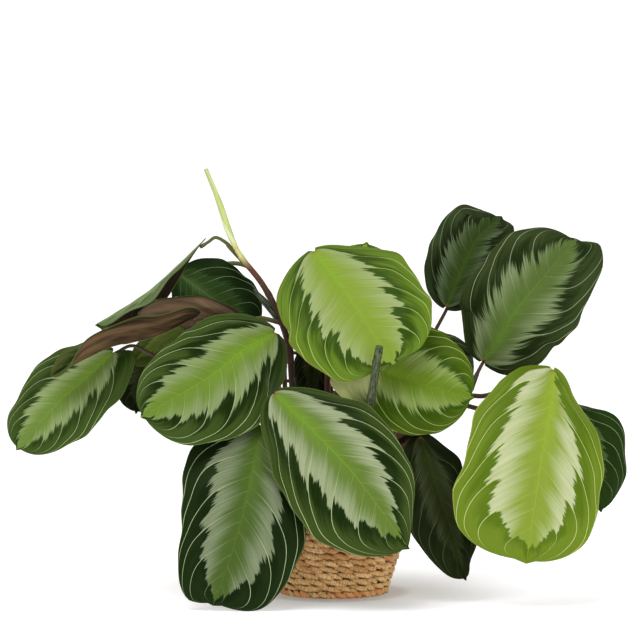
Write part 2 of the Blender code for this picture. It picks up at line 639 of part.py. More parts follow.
def stake_line():
    """The stake's lower end in its hole, and its top."""
    top = Vector(STAKE_TOP) * MM
    ground = Vector((*STAKE_FOOT, 0)) * MM + Vector((0, 0, SOIL_TOP))
    lean = (top - ground).normalized()
    foot = ground - lean * (HOLE_DEPTH - CLEARANCE) / lean.z
    return foot, top, lean


def make_stake():
    """The support stick, a little knotty, pushed into the soil."""
    foot, top, _ = stake_line()
    points = [foot.lerp(top, share) for share, _ in STAKE_SWELL]
    radii = [STAKE_RADIUS * swell for _, swell in STAKE_SWELL]
    return tube("stake", points, radii, STAKE_SIDES, GREY_WOOD)


def clear_scene():
    """Removes whatever the open file holds."""
    for old in list(bpy.data.objects):
        bpy.data.objects.remove(old)


def main():
    clear_scene()
    make_basket()
    make_pot()
    feet = []
    for cane in CANES.values():
        x, y = (value * MM for value in cane["foot"])
        feet.append((x, y, CANE_RADIUS + HOLE_PLAY, Vector((0, 0, 1))))
    stake_foot, _, lean = stake_line()
    feet.append((stake_foot.x, stake_foot.y, STAKE_RADIUS + HOLE_PLAY, lean))
    make_soil(feet)
    make_stake()
    for name, cane in CANES.items():
        make_cane(name, cane)
    make_rolled("new_shoot", shoot_route(), SHOOT_RADII, SHOOT)
    make_rolled("furled_leaf", in_metres(FURLED_ROUTE), FURLED_RADII, DARK_GREEN)
    for leaf in LEAVES:
        make_blade(leaf)


main()
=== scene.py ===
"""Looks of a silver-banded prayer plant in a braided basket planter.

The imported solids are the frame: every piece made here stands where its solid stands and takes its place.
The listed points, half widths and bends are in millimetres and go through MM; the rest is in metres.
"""

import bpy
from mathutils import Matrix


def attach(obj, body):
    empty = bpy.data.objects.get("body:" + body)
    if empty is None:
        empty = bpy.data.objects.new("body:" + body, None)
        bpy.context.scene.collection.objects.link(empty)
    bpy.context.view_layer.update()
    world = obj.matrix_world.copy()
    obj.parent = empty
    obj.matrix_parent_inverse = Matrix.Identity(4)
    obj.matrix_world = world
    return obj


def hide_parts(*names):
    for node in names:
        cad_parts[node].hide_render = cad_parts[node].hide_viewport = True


bl_info = {
    "name": "Potted prayer plant maranta",
    "version": (1, 0, 0),
    "blender": (4, 5, 0),
    "location": "View3D > Sidebar > Maranta",
    "description": "Dresses the solids of a potted prayer plant with leaves, stems, braid, soil and a stage",
    "category": "Object",
}

from math import cos, exp, hypot, pi, radians, sin, tau

import bpy
import numpy as np
from mathutils import Vector

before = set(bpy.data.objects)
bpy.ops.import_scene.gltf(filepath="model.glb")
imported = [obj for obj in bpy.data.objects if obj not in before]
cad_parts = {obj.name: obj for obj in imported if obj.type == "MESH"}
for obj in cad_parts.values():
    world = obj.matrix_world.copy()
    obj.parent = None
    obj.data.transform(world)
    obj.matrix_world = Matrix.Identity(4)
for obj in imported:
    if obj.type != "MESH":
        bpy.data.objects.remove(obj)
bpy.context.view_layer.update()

MM = 0.001
LOWEST = 0.05 * MM
CLEARANCE = 0.3 * MM
WHITE = (1.0, 1.0, 1.0)


def colour(red, green, blue):
    """A linear colour from its three everyday values of 0 to 255."""
    linear = []
    for value in (red, green, blue):
        share = value / 255
        linear.append(share / 12.92 if share <= 0.04045 else ((share + 0.055) / 1.055) ** 2.4)
    return tuple(linear)


def tinted(shade, tint):
    """A colour multiplied by a tint."""
    return [part * share for part, share in zip(shade, tint)]


def in_metres(points):
    """Vectors from a given list of points in millimetres."""
    return [Vector(point) * MM for point in points]


def round_z(radius, angle, height=0.0):
    """The point at a radius and an angle round Z."""
    return Vector((radius * cos(angle), radius * sin(angle), height))


# Routes and tubes

ROUND_FIRST = ((0, 0), (0, 1), (1, 1), (1, 0))
ALONG_FIRST = ((0, 0), (1, 0), (1, 1), (0, 1))


def smooth_route(points, steps):
    """A Catmull-Rom curve through the points, as a list with the given number of steps in each span."""
    padded = [2 * points[0] - points[1], *points, 2 * points[-1] - points[-2]]
    route = []
    for before, start, end, after in zip(padded, padded[1:], padded[2:], padded[3:]):
        for step in range(steps):
            t = step / steps
            route.append(0.5 * (2 * start + (end - before) * t
                                + (2 * before - 5 * start + 4 * end - after) * t ** 2
                                + (3 * start - before - 3 * end + after) * t ** 3))
    route.append(points[-1].copy())
    return route


def point_along(route, share):
    """The point and the direction at a share of a route's length."""
    lengths = [(b - a).length for a, b in zip(route, route[1:])]
    left = share * sum(lengths)
    for a, b, length in zip(route, route[1:], lengths):
        if left <= length:
            return a.lerp(b, left / length), (b - a).normalized()
        left -= length
    return route[-1].copy(), (route[-1] - route[-2]).normalized()


def tapered(pairs, count):
    """Radii for a count of points, read off a few (share, radius) pairs."""
    return list(np.interp(np.linspace(0, 1, count), *zip(*pairs)))


def rings_of(count, sides):
    """The point numbers of each of a count of rings, one ring after the other."""
    return [range(ring * sides, (ring + 1) * sides) for ring in range(count)]


def ring_faces(rings, sides, place, corners=ROUND_FIRST):
    """Faces between rings of point numbers, with each corner's place; a ring of one point closes the end."""
    faces = []
    places = []
    for ring in range(len(rings) - 1):
        for turn in range(sides):
            cell = {}
            for ahead, on in corners:
                numbers = rings[ring + ahead]
                cell.setdefault(numbers[(turn + on) % len(numbers)], place(ring + ahead, turn + on))
            faces.append(tuple(cell))
            places.append(list(cell.values()))
    return faces, places


class Mould:
    """Gathers points and faces, each face corner with its place in the material, for one object."""

    def __init__(self):
        self.points = []
        self.faces = []
        self.places = []
        self.slots = []

    def add(self, points, faces, places, slots=None):
        """Adds points, with faces that count from the first of them."""
        first = len(self.points)
        self.points += [tuple(point) for point in points]
        self.faces += [tuple(first + corner for corner in face) for face in faces]
        self.places += [place for corners in places for place in corners]
        self.slots += slots or [0] * len(faces)

    def cast(self, name, materials, crease=None):
        """Makes the object. Faces are smooth, with edges sharper than the crease angle left hard."""
        mesh = bpy.data.meshes.new(name)
        mesh.from_pydata(self.points, [], self.faces)
        layer = mesh.uv_layers.new(name="place")
        layer.data.foreach_set("uv", np.asarray(self.places, dtype=np.float32).ravel())
        mesh.polygons.foreach_set("material_index", self.slots)
        mesh.shade_smooth()
        if crease:
            mesh.set_sharp_from_angle(angle=radians(crease))
        for material in materials:
            mesh.materials.append(material)
        made = bpy.data.objects.new(name, mesh)
        bpy.context.scene.collection.objects.link(made)
        return made


def add_tube(mould, route, radii, sides, seed=0, swell=None):
    """A closed tube along a route. Its place runs from 0 to 1 along it and from the seed round it."""
    last = len(route) - 1
    side = Vector((1, 0, 0)) if abs((route[1] - route[0]).normalized().x) < 0.9 else Vector((0, 0, 1))
    points = []
    for index, centre in enumerate(route):
        along = (route[min(index + 1, last)] - route[max(index - 1, 0)]).normalized()
        side = (side - along * side.dot(along)).normalized()
        across = along.cross(side)
        for turn in range(sides):
            angle = tau * turn / sides
            radius = radii[index] * (swell(index / last, angle) if swell else 1)
            points.append(centre + (side * cos(angle) + across * sin(angle)) * radius)
    rings = rings_of(last + 1, sides)
    faces, places = ring_faces(rings, sides, lambda ring, turn: (ring / last, seed + turn / sides))
    first_cap, last_cap = len(points), len(points) + 1
    points += [route[0], route[-1]]
    for turn in range(sides):
        after = (turn + 1) % sides
        faces += [(first_cap, after, turn), (last_cap, rings[last][turn], rings[last][after])]
        places += [[(0, seed)] * 3, [(1, seed)] * 3]
    mould.add(points, faces, places)


# Shader nodes

def arithmetic(operation, turned=False):
    """An operator for wires that adds a Math node."""
    def apply(self, other):
        pair = (other, self) if turned else (self, other)
        return self.graph.math(operation, *pair)
    return apply


class Wire:
    """A value in a shader graph, which can be calculated with like a number."""

    __add__ = arithmetic("ADD")
    __radd__ = arithmetic("ADD", turned=True)
    __sub__ = arithmetic("SUBTRACT")
    __rsub__ = arithmetic("SUBTRACT", turned=True)
    __mul__ = arithmetic("MULTIPLY")
    __truediv__ = arithmetic("DIVIDE")
    __pow__ = arithmetic("POWER")

    def __init__(self, graph, socket):
        self.graph = graph
        self.socket = socket

    def __abs__(self):
        return self.graph.math("ABSOLUTE", self)


class Graph:
    """Short calls that add shader nodes to one tree and give their outputs as wires."""

    def __init__(self, tree):
        self.tree = tree

    def feed(self, socket, value):
        if isinstance(value, Wire):
            self.tree.links.new(value.socket, socket)
        else:
            socket.default_value = (*value, 1.0) if socket.type == "RGBA" else value

    def node(self, kind, given=(), **settings):
        """Adds a node with its settings. What is given to its inputs is a row, or goes by name or number."""
        made = self.tree.nodes.new("ShaderNode" + kind)
        for key, value in settings.items():
            setattr(made, key, value)
        named = given if isinstance(given, dict) else dict(enumerate(given))
        for key, value in named.items():
            self.feed(made.inputs[key], value)
        return [Wire(self, socket) for socket in made.outputs]

    def math(self, operation, *values):
        return self.node("Math", values, operation=operation)[0]

    def fract(self, value):
        return self.math("FRACT", value)

    def step(self, value, low, high, start=0.0, end=1.0):
        """A smooth step from start to end while the value goes from low to high."""
        return self.node("MapRange", (value, low, high, start, end), interpolation_type="SMOOTHSTEP")[0]

    def mix(self, share, first, second):
        return self.node("Mix", {0: share, 6: first, 7: second}, data_type="RGBA")[2]

    def coats(self, base, *layers):
        """A colour with layers over it, each a share and a shade."""
        for share, shade in layers:
            base = self.mix(share, base, shade)
        return base

    def parts(self, vector):
        return self.node("SeparateXYZ", [vector])

    def noise(self, place, detail=2.0, roughness=0.5, scale=1.0):
        """Noise at a place, which is a vector or its two or three parts."""
        if isinstance(place, tuple):
            place = self.node("CombineXYZ", place)[0]
        return self.node("TexNoise", {"Vector": place, "Scale": scale, "Detail": detail,
                                      "Roughness": roughness})[0]

    def group(self, tree, given):
        """Places a node group and gives its outputs by name."""
        return {wire.socket.name: wire for wire in self.node("Group", given, node_tree=tree)}

    def place(self):
        """The piece's own place map."""
        return self.node("UVMap", uv_map="place")[0]

    def position(self):
        return self.node("NewGeometry")[0]


class Skin(Graph):
    """A material with only its Principled shader, and the graph that feeds it."""

    def __init__(self, name, roughness, specular=0.5):
        self.material = bpy.data.materials.new(name)
        self.material.use_nodes = True
        super().__init__(self.material.node_tree)
        self.shader = self.tree.nodes["Principled BSDF"].inputs
        self.feed(self.shader["Roughness"], roughness)
        self.feed(self.shader["Specular IOR Level"], specular)

    def finish(self, base, height, distance, strength):
        """Feeds the base colour and a bump of the given distance to the shader and gives the material."""
        self.feed(self.shader["Base Color"], base)
        bump = self.node("Bump", {"Strength": strength, "Distance": distance, "Height": height})
        self.feed(self.shader["Normal"], bump[0])
        return self.material


class Group(Graph):
    """A shader node group. Labels that end in colour are colours, Place is a vector, the rest are values."""

    def __init__(self, name, inputs, outputs):
        super().__init__(bpy.data.node_groups.new(name, "ShaderNodeTree"))
        for label, default in inputs.items():
            socket = self.new_socket(label, "INPUT")
            if default is not None:
                socket.default_value = default
        for label in outputs:
            self.new_socket(label, "OUTPUT")
        self.given = [Wire(self, socket) for socket in self.tree.nodes.new("NodeGroupInput").outputs[:-1]]
        self.out = self.tree.nodes.new("NodeGroupOutput").inputs

    def new_socket(self, label, way):
        kind = "Color" if label.lower().endswith("colour") else "Vector" if label == "Place" else "Float"
        return self.tree.interface.new_socket(label, in_out=way, socket_type="NodeSocket" + kind)

    def finish(self, *values):
        """Feeds the group's outputs in their order and gives its tree."""
        for socket, value in zip(self.out, values):
            self.feed(socket, value)
        return self.tree


# Blades: the veins' course is one formula, which both the geometry and the materials use

VEINS_A_SIDE = 5.6
VEIN_WIDTH = 0.0070
VEIN_LEAN = 0.28
VEIN_SWEEP = 0.32
SWEEP_POWER = 6
SIDE_SHIFT = 0.055
MAP_HALF_WIDTH = 0.48
MAP_TO_SIDE = 2.0833
MASKS = ("Side", "Phase", "Main vein", "Fine vein", "Streak", "Strand", "Midrib", "Seed", "Along",
         "Other half")
NO_MASKS = dict.fromkeys(MASKS, 0.0)
BAND_SHAPE = {
    "Band reach": 0.55, "Tooth": 0.10, "Step": 0.12, "Feather": 0.25, "Softness": 0.03, "Closing": 0.6,
    "Closing power": 1.6, "Late half": 0.0, "Centre reach": 0.45, "Silver": 1.0, "Base light": 0.0,
}
UPPER_COLOURS = ("Centre colour", "Band colour", "Patch colour", "Margin colour", "Midrib colour",
                 "Vein colour", "Rim colour")
LOWER_COLOURS = ("Flush colour", "Base colour", "Vein colour", "Rim colour")
SEAT_BROWN = colour(124, 84, 46)
LOWER_VEIN = colour(150, 140, 96)
LEAF_SHEEN = 0.09
SHEEN_TINT = (0.62, 0.90, 0.36)


def vein_group():
    """The veins' course over a blade, as the masks that both of its faces use."""
    g = Group("Blade veins", {"Place": None, "Veins": VEINS_A_SIDE, "Vein width": VEIN_WIDTH}, MASKS)
    place, veins, vein_width = g.given
    x, y, _ = g.parts(place)
    seed = g.math("FLOOR", y)
    across = (g.fract(y) - 0.5) * MAP_TO_SIDE
    side = abs(across)
    half = g.math("GREATER_THAN", across, 0.0)
    course = x - side * VEIN_LEAN - side ** SWEEP_POWER * VEIN_SWEEP + half * SIDE_SHIFT
    sway = g.noise((x * 3.0, across * 1.2, seed * 7.3), detail=1.0)
    course = course + (sway - 0.5) * 0.05
    phase = course * veins
    slope = (VEIN_LEAN + side ** (SWEEP_POWER - 1) * (SWEEP_POWER * VEIN_SWEEP)) * 3.1
    width = vein_width * g.math("SQRT", 1.0 + slope * slope)

    def line(offset, share):
        away = 0.5 - abs(g.fract(phase + offset) - 0.5)
        edge = width * share
        return g.step(away, edge * 0.45, edge * 1.5, 1.0, 0.0)

    main_vein = line(0.0, 1.0) * g.step(course, -0.14, -0.08)
    streak = g.noise((phase * 9.0, side * 1.3, seed * 3.1 + half * 17.0), 3.0, 0.65)
    strand = g.noise((phase * 24.0, side * 1.1, seed * 5.3 + half * 11.0), 2.0, 0.6)
    midrib_edge = g.step(x, 0.0, 1.0, 0.018, 0.007)
    midrib = g.step(side, midrib_edge * 0.5, midrib_edge, 1.0, 0.0)
    return g.finish(side, phase, main_vein, line(0.5, 0.6), streak, strand, midrib, seed, x, 1.0 - half)


def upper_face_group():
    """The upper face: a pale centre in a silver band with teeth, then dark patches, a margin and veins."""
    inputs = {**NO_MASKS, **BAND_SHAPE, **dict.fromkeys(UPPER_COLOURS)}
    g = Group("Blade upper face", inputs, ("Colour", "Height", "Roughness"))
    side, phase, main_vein, fine_vein, streaks, strands, midrib, seed, along, other_half, *shape = g.given
    (reach, tooth_size, step_size, feather, softness, closing_by, closing_power, late_by, centre_reach,
     silver_share, pale_base_and_painted_light, centre, band, patch, margin, rib, vein, rim) = shape
    streak = streaks - 0.5
    strand = strands - 0.5
    streaked_along = along + streak * 0.3

    part = g.fract(phase)
    step = (part * part - 0.35) * step_size
    tooth = g.noise((phase * 5.5, seed * 5.7, side * 1.6), 2.0, 0.6)
    wander = g.noise((phase * 0.8, seed * 9.1), detail=0.0)
    edge = (reach + step) + ((tooth - 0.5) * (tooth_size * 3.0) + (wander - 0.5) * 0.22)
    edge = edge + (streak + strand * 0.7) * feather
    closing = g.math("MAXIMUM", along - 0.45, 0.0) / 0.55
    late = g.step(streaked_along, 0.10, 0.36, 1.0, 0.0) * (other_half * late_by)
    edge = edge - closing ** closing_power * closing_by - late
    in_band = g.step(edge - side, softness * -0.5, softness)

    grain = streak * 0.42 + g.math("COSINE", phase * tau) * -0.04
    silver = g.step(side + grain, 0.10, centre_reach) * g.step(strand, -0.22, 0.12, 0.62, 1.0) * silver_share
    glow = g.step(side + streak * 0.3, 0.0, 0.22, 1.0, 0.0) * g.step(along, 0.05, 0.75, 0.85, 0.0)
    middle = g.mix(silver, g.mix(glow, centre, rib), band)
    # Darker streaks along the veins in the band: partly the band's own streaking, partly painted fold shade.
    middle = g.mix(g.step(abs(streak), 0.05, 0.24) * 0.26, middle, g.mix(0.40, centre, patch))
    patchy = (g.noise((phase * 1.4, side * 2.0, seed * 2.3), scale=1.3) - 0.5) * 0.8
    outer = g.coats(patch, (g.step((side - edge) + patchy, 0.05, 0.42), margin),
                    (g.step(streak, 0.0, 0.22) * 0.30, margin))
    vein_share = main_vein * g.step(side, 0.05, 0.60, 0.12, 0.80) * g.step(along, 0.9, 1.0, 1.0, 0.4)
    seat = g.step(along, 0.004, 0.022, 0.55, 0.0) * g.step(side, 0.2, 0.5, 1.0, 0.0)
    whole = g.coats(
        outer,
        (in_band, middle),
        # The pale base: partly the blade's own pale base, partly painted light on a base that lies in shade.
        (g.step(streaked_along, 0.12, 0.30, 1.0, 0.0) * pale_base_and_painted_light, vein),
        (vein_share, vein),
        (fine_vein * in_band * 0.30, vein),
        (midrib * 0.8, rib),
        (g.step(side, 0.978, 0.992, 0.0, 0.45), rim),
        (seat, SEAT_BROWN))
    height = main_vein * -0.6 + (streaks * 0.9 + strands * 0.5)
    return g.finish(whole, height, in_band * 0.05 + (0.33 + streaks * 0.12))


def underside_group():
    """The underside: clouds of maroon over the base colour, with painted crease shade, veins and a margin."""
    g = Group("Blade underside", {**NO_MASKS, **dict.fromkeys(LOWER_COLOURS)}, ("Colour", "Height"))
    side, phase, main_vein, _, streaks, strands, midrib, seed, along, _, flush, base, vein, rim = g.given
    cloud = g.noise((phase * 0.5, side * 2.2, seed * 4.1), scale=1.1) + along * 0.34
    # Painted shade: crease lines mixed into the colour, where folds would shade it.
    crease = g.step(g.noise((phase * 1.6, side, seed * 2.7), 1.0, 0.6), 0.44, 0.30)
    whole = g.coats(
        base,
        (g.step(cloud, 0.45, 0.90), flush),
        (crease * 0.22, base),
        (g.step(strands, 0.5, 0.8) * 0.10, vein),
        (main_vein * 0.25, vein),
        (midrib * 0.7, vein),
        (g.step(side, 0.90, 0.98, 0.0, 0.8), rim),
        (g.step(along, 0.92, 0.98), rim))
    return g.finish(whole, main_vein + streaks * 0.8)


class Palette:
    """The colours of one kind of blade, and how its silver band lies, in shares of a blade's side."""

    def __init__(self, centre, band, patch, margin, midrib, vein=(188, 204, 158), rim=(110, 124, 70),
                 flush=(98, 70, 56), under=(84, 76, 52), veins=VEINS_A_SIDE, **band_shape):
        shades = (centre, band, patch, margin, midrib, vein, rim)
        self.upper = {label: colour(*shade) for label, shade in zip(UPPER_COLOURS, shades)}
        self.flush = colour(*flush)
        self.under = colour(*under)
        self.veins = veins
        self.band_shape = {key.replace("_", " "): value for key, value in band_shape.items()}


PALETTES = {
    "forest": Palette((90, 112, 46), (146, 155, 122), (18, 34, 6), (54, 70, 26), (106, 138, 40),
                      Step=0.18, Feather=0.20, Closing=0.62, Closing_power=2.6),
    "meadow": Palette((100, 126, 46), (128, 142, 98), (22, 38, 8), (56, 74, 28), (114, 148, 42),
                      Band_reach=0.50, Step=0.16, Closing=0.28, Closing_power=3.0, Feather=0.28,
                      Softness=0.05),
    "glade": Palette((98, 122, 52), (134, 148, 102), (34, 52, 14), (56, 74, 28), (110, 142, 46),
                     Band_reach=0.50, Step=0.16, Closing=0.25, Closing_power=3.0, Feather=0.34,
                     Softness=0.08, Silver=0.9),
    # Painted shade: darker leaf colours for a leaf that lies in shade behind another.
    "evening_painted_shade": Palette((46, 66, 24), (74, 96, 54), (24, 42, 10), (30, 50, 14), (70, 96, 36),
                       vein=(164, 180, 138), rim=(60, 80, 34), Band_reach=0.45, Silver=0.7),
    # Painted shade: darker leaf colours for leaves low in front or at the back of the clump, which lie in
    # shade.
    "shade": Palette((68, 88, 36), (118, 128, 100), (14, 28, 8), (22, 36, 12), (80, 106, 38),
                     Step=0.16, Feather=0.28, Closing=0.55, Closing_power=4.5),
    "fresh": Palette((122, 144, 52), (152, 162, 120), (46, 68, 14), (92, 118, 34), (124, 154, 46),
                     vein=(178, 200, 116), rim=(136, 110, 60), Centre_reach=0.60, Silver=0.85,
                     Step=0.17, Feather=0.20, Closing=0.35, Closing_power=3.0),
    "lime": Palette((126, 144, 52), (180, 186, 146), (80, 104, 20), (100, 122, 32), (136, 160, 48),
                    vein=(204, 214, 142), rim=(170, 180, 90), Band_reach=0.58, Closing=0.85,
                    Closing_power=4.0, Step=0.16, Feather=0.20, Centre_reach=0.5, Late_half=0.42),
    "olive": Palette((98, 124, 34), (134, 150, 90), (46, 72, 8), (70, 92, 16), (104, 136, 30),
                     vein=(206, 216, 142), rim=(90, 80, 40), Feather=0.40, Softness=0.10, Silver=0.8,
                     Base_light=1.0, Closing=0.3),
    "deep": Palette((76, 95, 44), (126, 140, 102), (20, 32, 8), (46, 58, 28), (88, 118, 42),
                    vein=(156, 168, 136), rim=(70, 80, 50), veins=4.7, Tooth=0.14, Feather=0.62,
                    Softness=0.12, Silver=0.85, Centre_reach=0.62, Closing=0.35),
    # Painted shade: the deep colours darkened for a leaf that lies in shade behind another.
    "dim_painted_shade": Palette((44, 61, 23), (98, 112, 84), (14, 22, 6), (42, 54, 28), (62, 84, 28),
                   vein=(140, 152, 120), rim=(70, 80, 50), veins=4.7, Tooth=0.14, Feather=0.62,
                   Softness=0.07, Silver=0.75, Centre_reach=0.6, Closing=0.35),
    "mossy": Palette((84, 100, 38), (100, 114, 60), (48, 62, 20), (64, 78, 28), (100, 114, 48),
                     vein=(104, 116, 70), rim=(70, 76, 40), Feather=0.4, Softness=0.10),
    # Painted shade: darker leaf colours for a leaf that lies in shade at the back.
    "dusk_painted_shade": Palette((40, 62, 22), (38, 60, 26), (20, 40, 12), (16, 30, 8), (78, 100, 58),
                    vein=(164, 180, 140), rim=(50, 56, 36), veins=5.0, Feather=0.4),
    # Painted shade: near-black leaf colours for leaves deep in the clump's shade.
    "night_painted_shade": Palette((34, 40, 16), (50, 54, 34), (12, 18, 4), (20, 26, 8), (40, 50, 16),
                     vein=(104, 112, 84), rim=(40, 36, 28), Feather=0.5, Softness=0.12),
    # Its underside colours are the underside's own maroon, darkened with painted shade.
    "awning": Palette((92, 114, 48), (118, 134, 84), (62, 84, 32), (84, 104, 44), (110, 126, 66),
                      vein=(120, 134, 90), flush=(58, 38, 34), under=(30, 22, 18), Closing=0.2,
                      Softness=0.10),
    "folded": Palette((52, 70, 30), (80, 94, 62), (24, 36, 14), (40, 56, 22), (70, 90, 40),
                      rim=(90, 96, 54), flush=(126, 102, 80), under=(64, 48, 35)),
    "rolled": Palette((60, 84, 32), (92, 108, 72), (30, 46, 16), (70, 78, 38), (76, 100, 40),
                      vein=(120, 132, 90), flush=(114, 88, 64), under=(34, 26, 17)),
}


def leaf_skin(name, roughness, masks, vein_count, face, values, relief):
    """One face's material: the vein masks and the palette's values go through the face's group."""
    g = Skin(name, roughness, LEAF_SHEEN)
    g.feed(g.shader["Specular Tint"], SHEEN_TINT)
    lines = g.group(masks, {"Place": g.place(), "Veins": vein_count})
    looks = g.group(face, {**lines, **values})
    if "Roughness" in looks:
        g.feed(g.shader["Roughness"], looks["Roughness"])
    return g.finish(looks["Colour"], looks["Height"], relief, 0.8)


def blade_materials(upper_tint, lower_tint):
    """An upper and an underside material for each palette, with the settings' tints in its colours."""
    masks, face, under = vein_group(), upper_face_group(), underside_group()
    made = {}
    for name, palette in PALETTES.items():
        upper = {label: tinted(shade, upper_tint) for label, shade in palette.upper.items()}
        shades = (tinted(palette.flush, lower_tint), tinted(palette.under, lower_tint), LOWER_VEIN,
                  upper["Margin colour"])
        lower = dict(zip(LOWER_COLOURS, shades))
        upper.update(palette.band_shape)
        made[name] = (leaf_skin("blade_" + name, 0.4, masks, palette.veins, face, upper, 0.2 * MM),
                      leaf_skin("underside_" + name, 0.5, masks, palette.veins, under, lower, 0.3 * MM))
    return made


FRONT = (0, -1, 0.3)
RIB_STEPS = 16
WAVES = 2.5
WAVE_SHIFT = 1.9
BEND_ASPECT = 0.4
BEND_FADE = 2.2
TIP_POINT = 2.4 * MM
TYPICAL_HALF_WIDTH = 40 * MM
MARGIN_THICKNESS = 0.55


class Blade:
    """One blade: its midrib from base to tip, its half widths and the way its upper face looks.

    These are the solid's own values, with the palette that colours the blade. Each bend is its place
    along and across the blade, its size, and how far it pushes to the right and up, in millimetres.
    """

    def __init__(self, name, rib, wide, face=FRONT, tip_face=None, widest=(0.45, 0.45), fold=10,
                 droop=0.22, wave=1.6, round_base=(2.1, 2.1), round_tip=(2.2, 2.2), lobe=3.0, twist=1,
                 bends=(), palette="forest", slot="leaf_green"):
        self.name = name
        self.route = smooth_route(in_metres(rib), RIB_STEPS)
        self.wide = [width * MM for width in wide]
        self.widest = widest
        self.face = Vector(face).normalized()
        self.tip_face = Vector(tip_face or face).normalized()
        self.twist = twist
        self.fold = radians(fold)
        self.droop = droop
        self.wave = wave * MM
        self.rounding = (round_base, round_tip)
        self.lobe = lobe * MM
        self.bends = [(u, v, size, Vector((right, 0, up)) * MM) for u, v, size, right, up in bends]
        self.palette = palette
        self.slot = slot

    def directions(self, u):
        """The midrib's point at u with the blade's three directions there: along, across and facing."""
        centre, along = point_along(self.route, u)
        facing = self.face.lerp(self.tip_face, u ** self.twist)
        across = along.cross(facing).normalized()
        return centre, along, across, across.cross(along)

    def outline(self, u, side):
        """One side's half width at u, as a share of its widest: two quarter ovals that meet there."""
        widest = self.widest[side]
        if u < widest:
            reach, power = (widest - u) / widest, self.rounding[0][side]
        else:
            reach, power = (u - widest) / (1 - widest), self.rounding[1][side]
        return max(0.0, 1 - reach ** power) ** (1 / power)

    def row(self, u, across_places, seed=0, pleat=0.0, ripple=0.0):
        """One row of the blade's middle surface at u, with its quilting between the veins."""
        centre, along, across, facing = self.directions(u)
        row = []
        for v in across_places:
            side = abs(v)
            right = v > 0
            outline = self.outline(u, right)
            half = self.wide[right] * outline
            scallop = 1 + ripple * side ** 5 * (
                sin(tau * (2.3 * u + 0.37 * seed + 0.3 * right))
                + 0.5 * sin(tau * (5.1 * u + 0.61 * seed + right)))
            reach = half * v * cos(self.fold) * scallop
            lift = half * (sin(self.fold) * side - self.droop * side ** 2)
            phase = 0.0 if right else WAVE_SHIFT
            lift += self.wave * outline * side ** 2 * sin(tau * WAVES * u + phase)
            course = u - VEIN_LEAN * side - VEIN_SWEEP * side ** SWEEP_POWER + SIDE_SHIFT * right
            quilt = 0.5 - 0.5 * cos(tau * PALETTES[self.palette].veins * course)
            lift += pleat * outline * (quilt - 0.5) * sin(pi * min(1.0, side * 1.05)) ** 0.8
            lift -= pleat * 0.9 * outline * exp(-(side / 0.045) ** 2)
            lift += pleat * 1.1 * outline * side * sin(tau * (1.3 * u + 0.8 * side + 0.23 * seed))
            back = self.lobe * (1 - u) ** 6 * side ** 2
            point = centre + across * reach + facing * lift - along * back
            for bend_u, bend_v, size, shift in self.bends:
                away = hypot(u - bend_u, BEND_ASPECT * (v - bend_v)) / size
                point = point + shift * exp(-away ** 2) * min(1.0, outline * BEND_FADE)
            row.append(point)
        return row


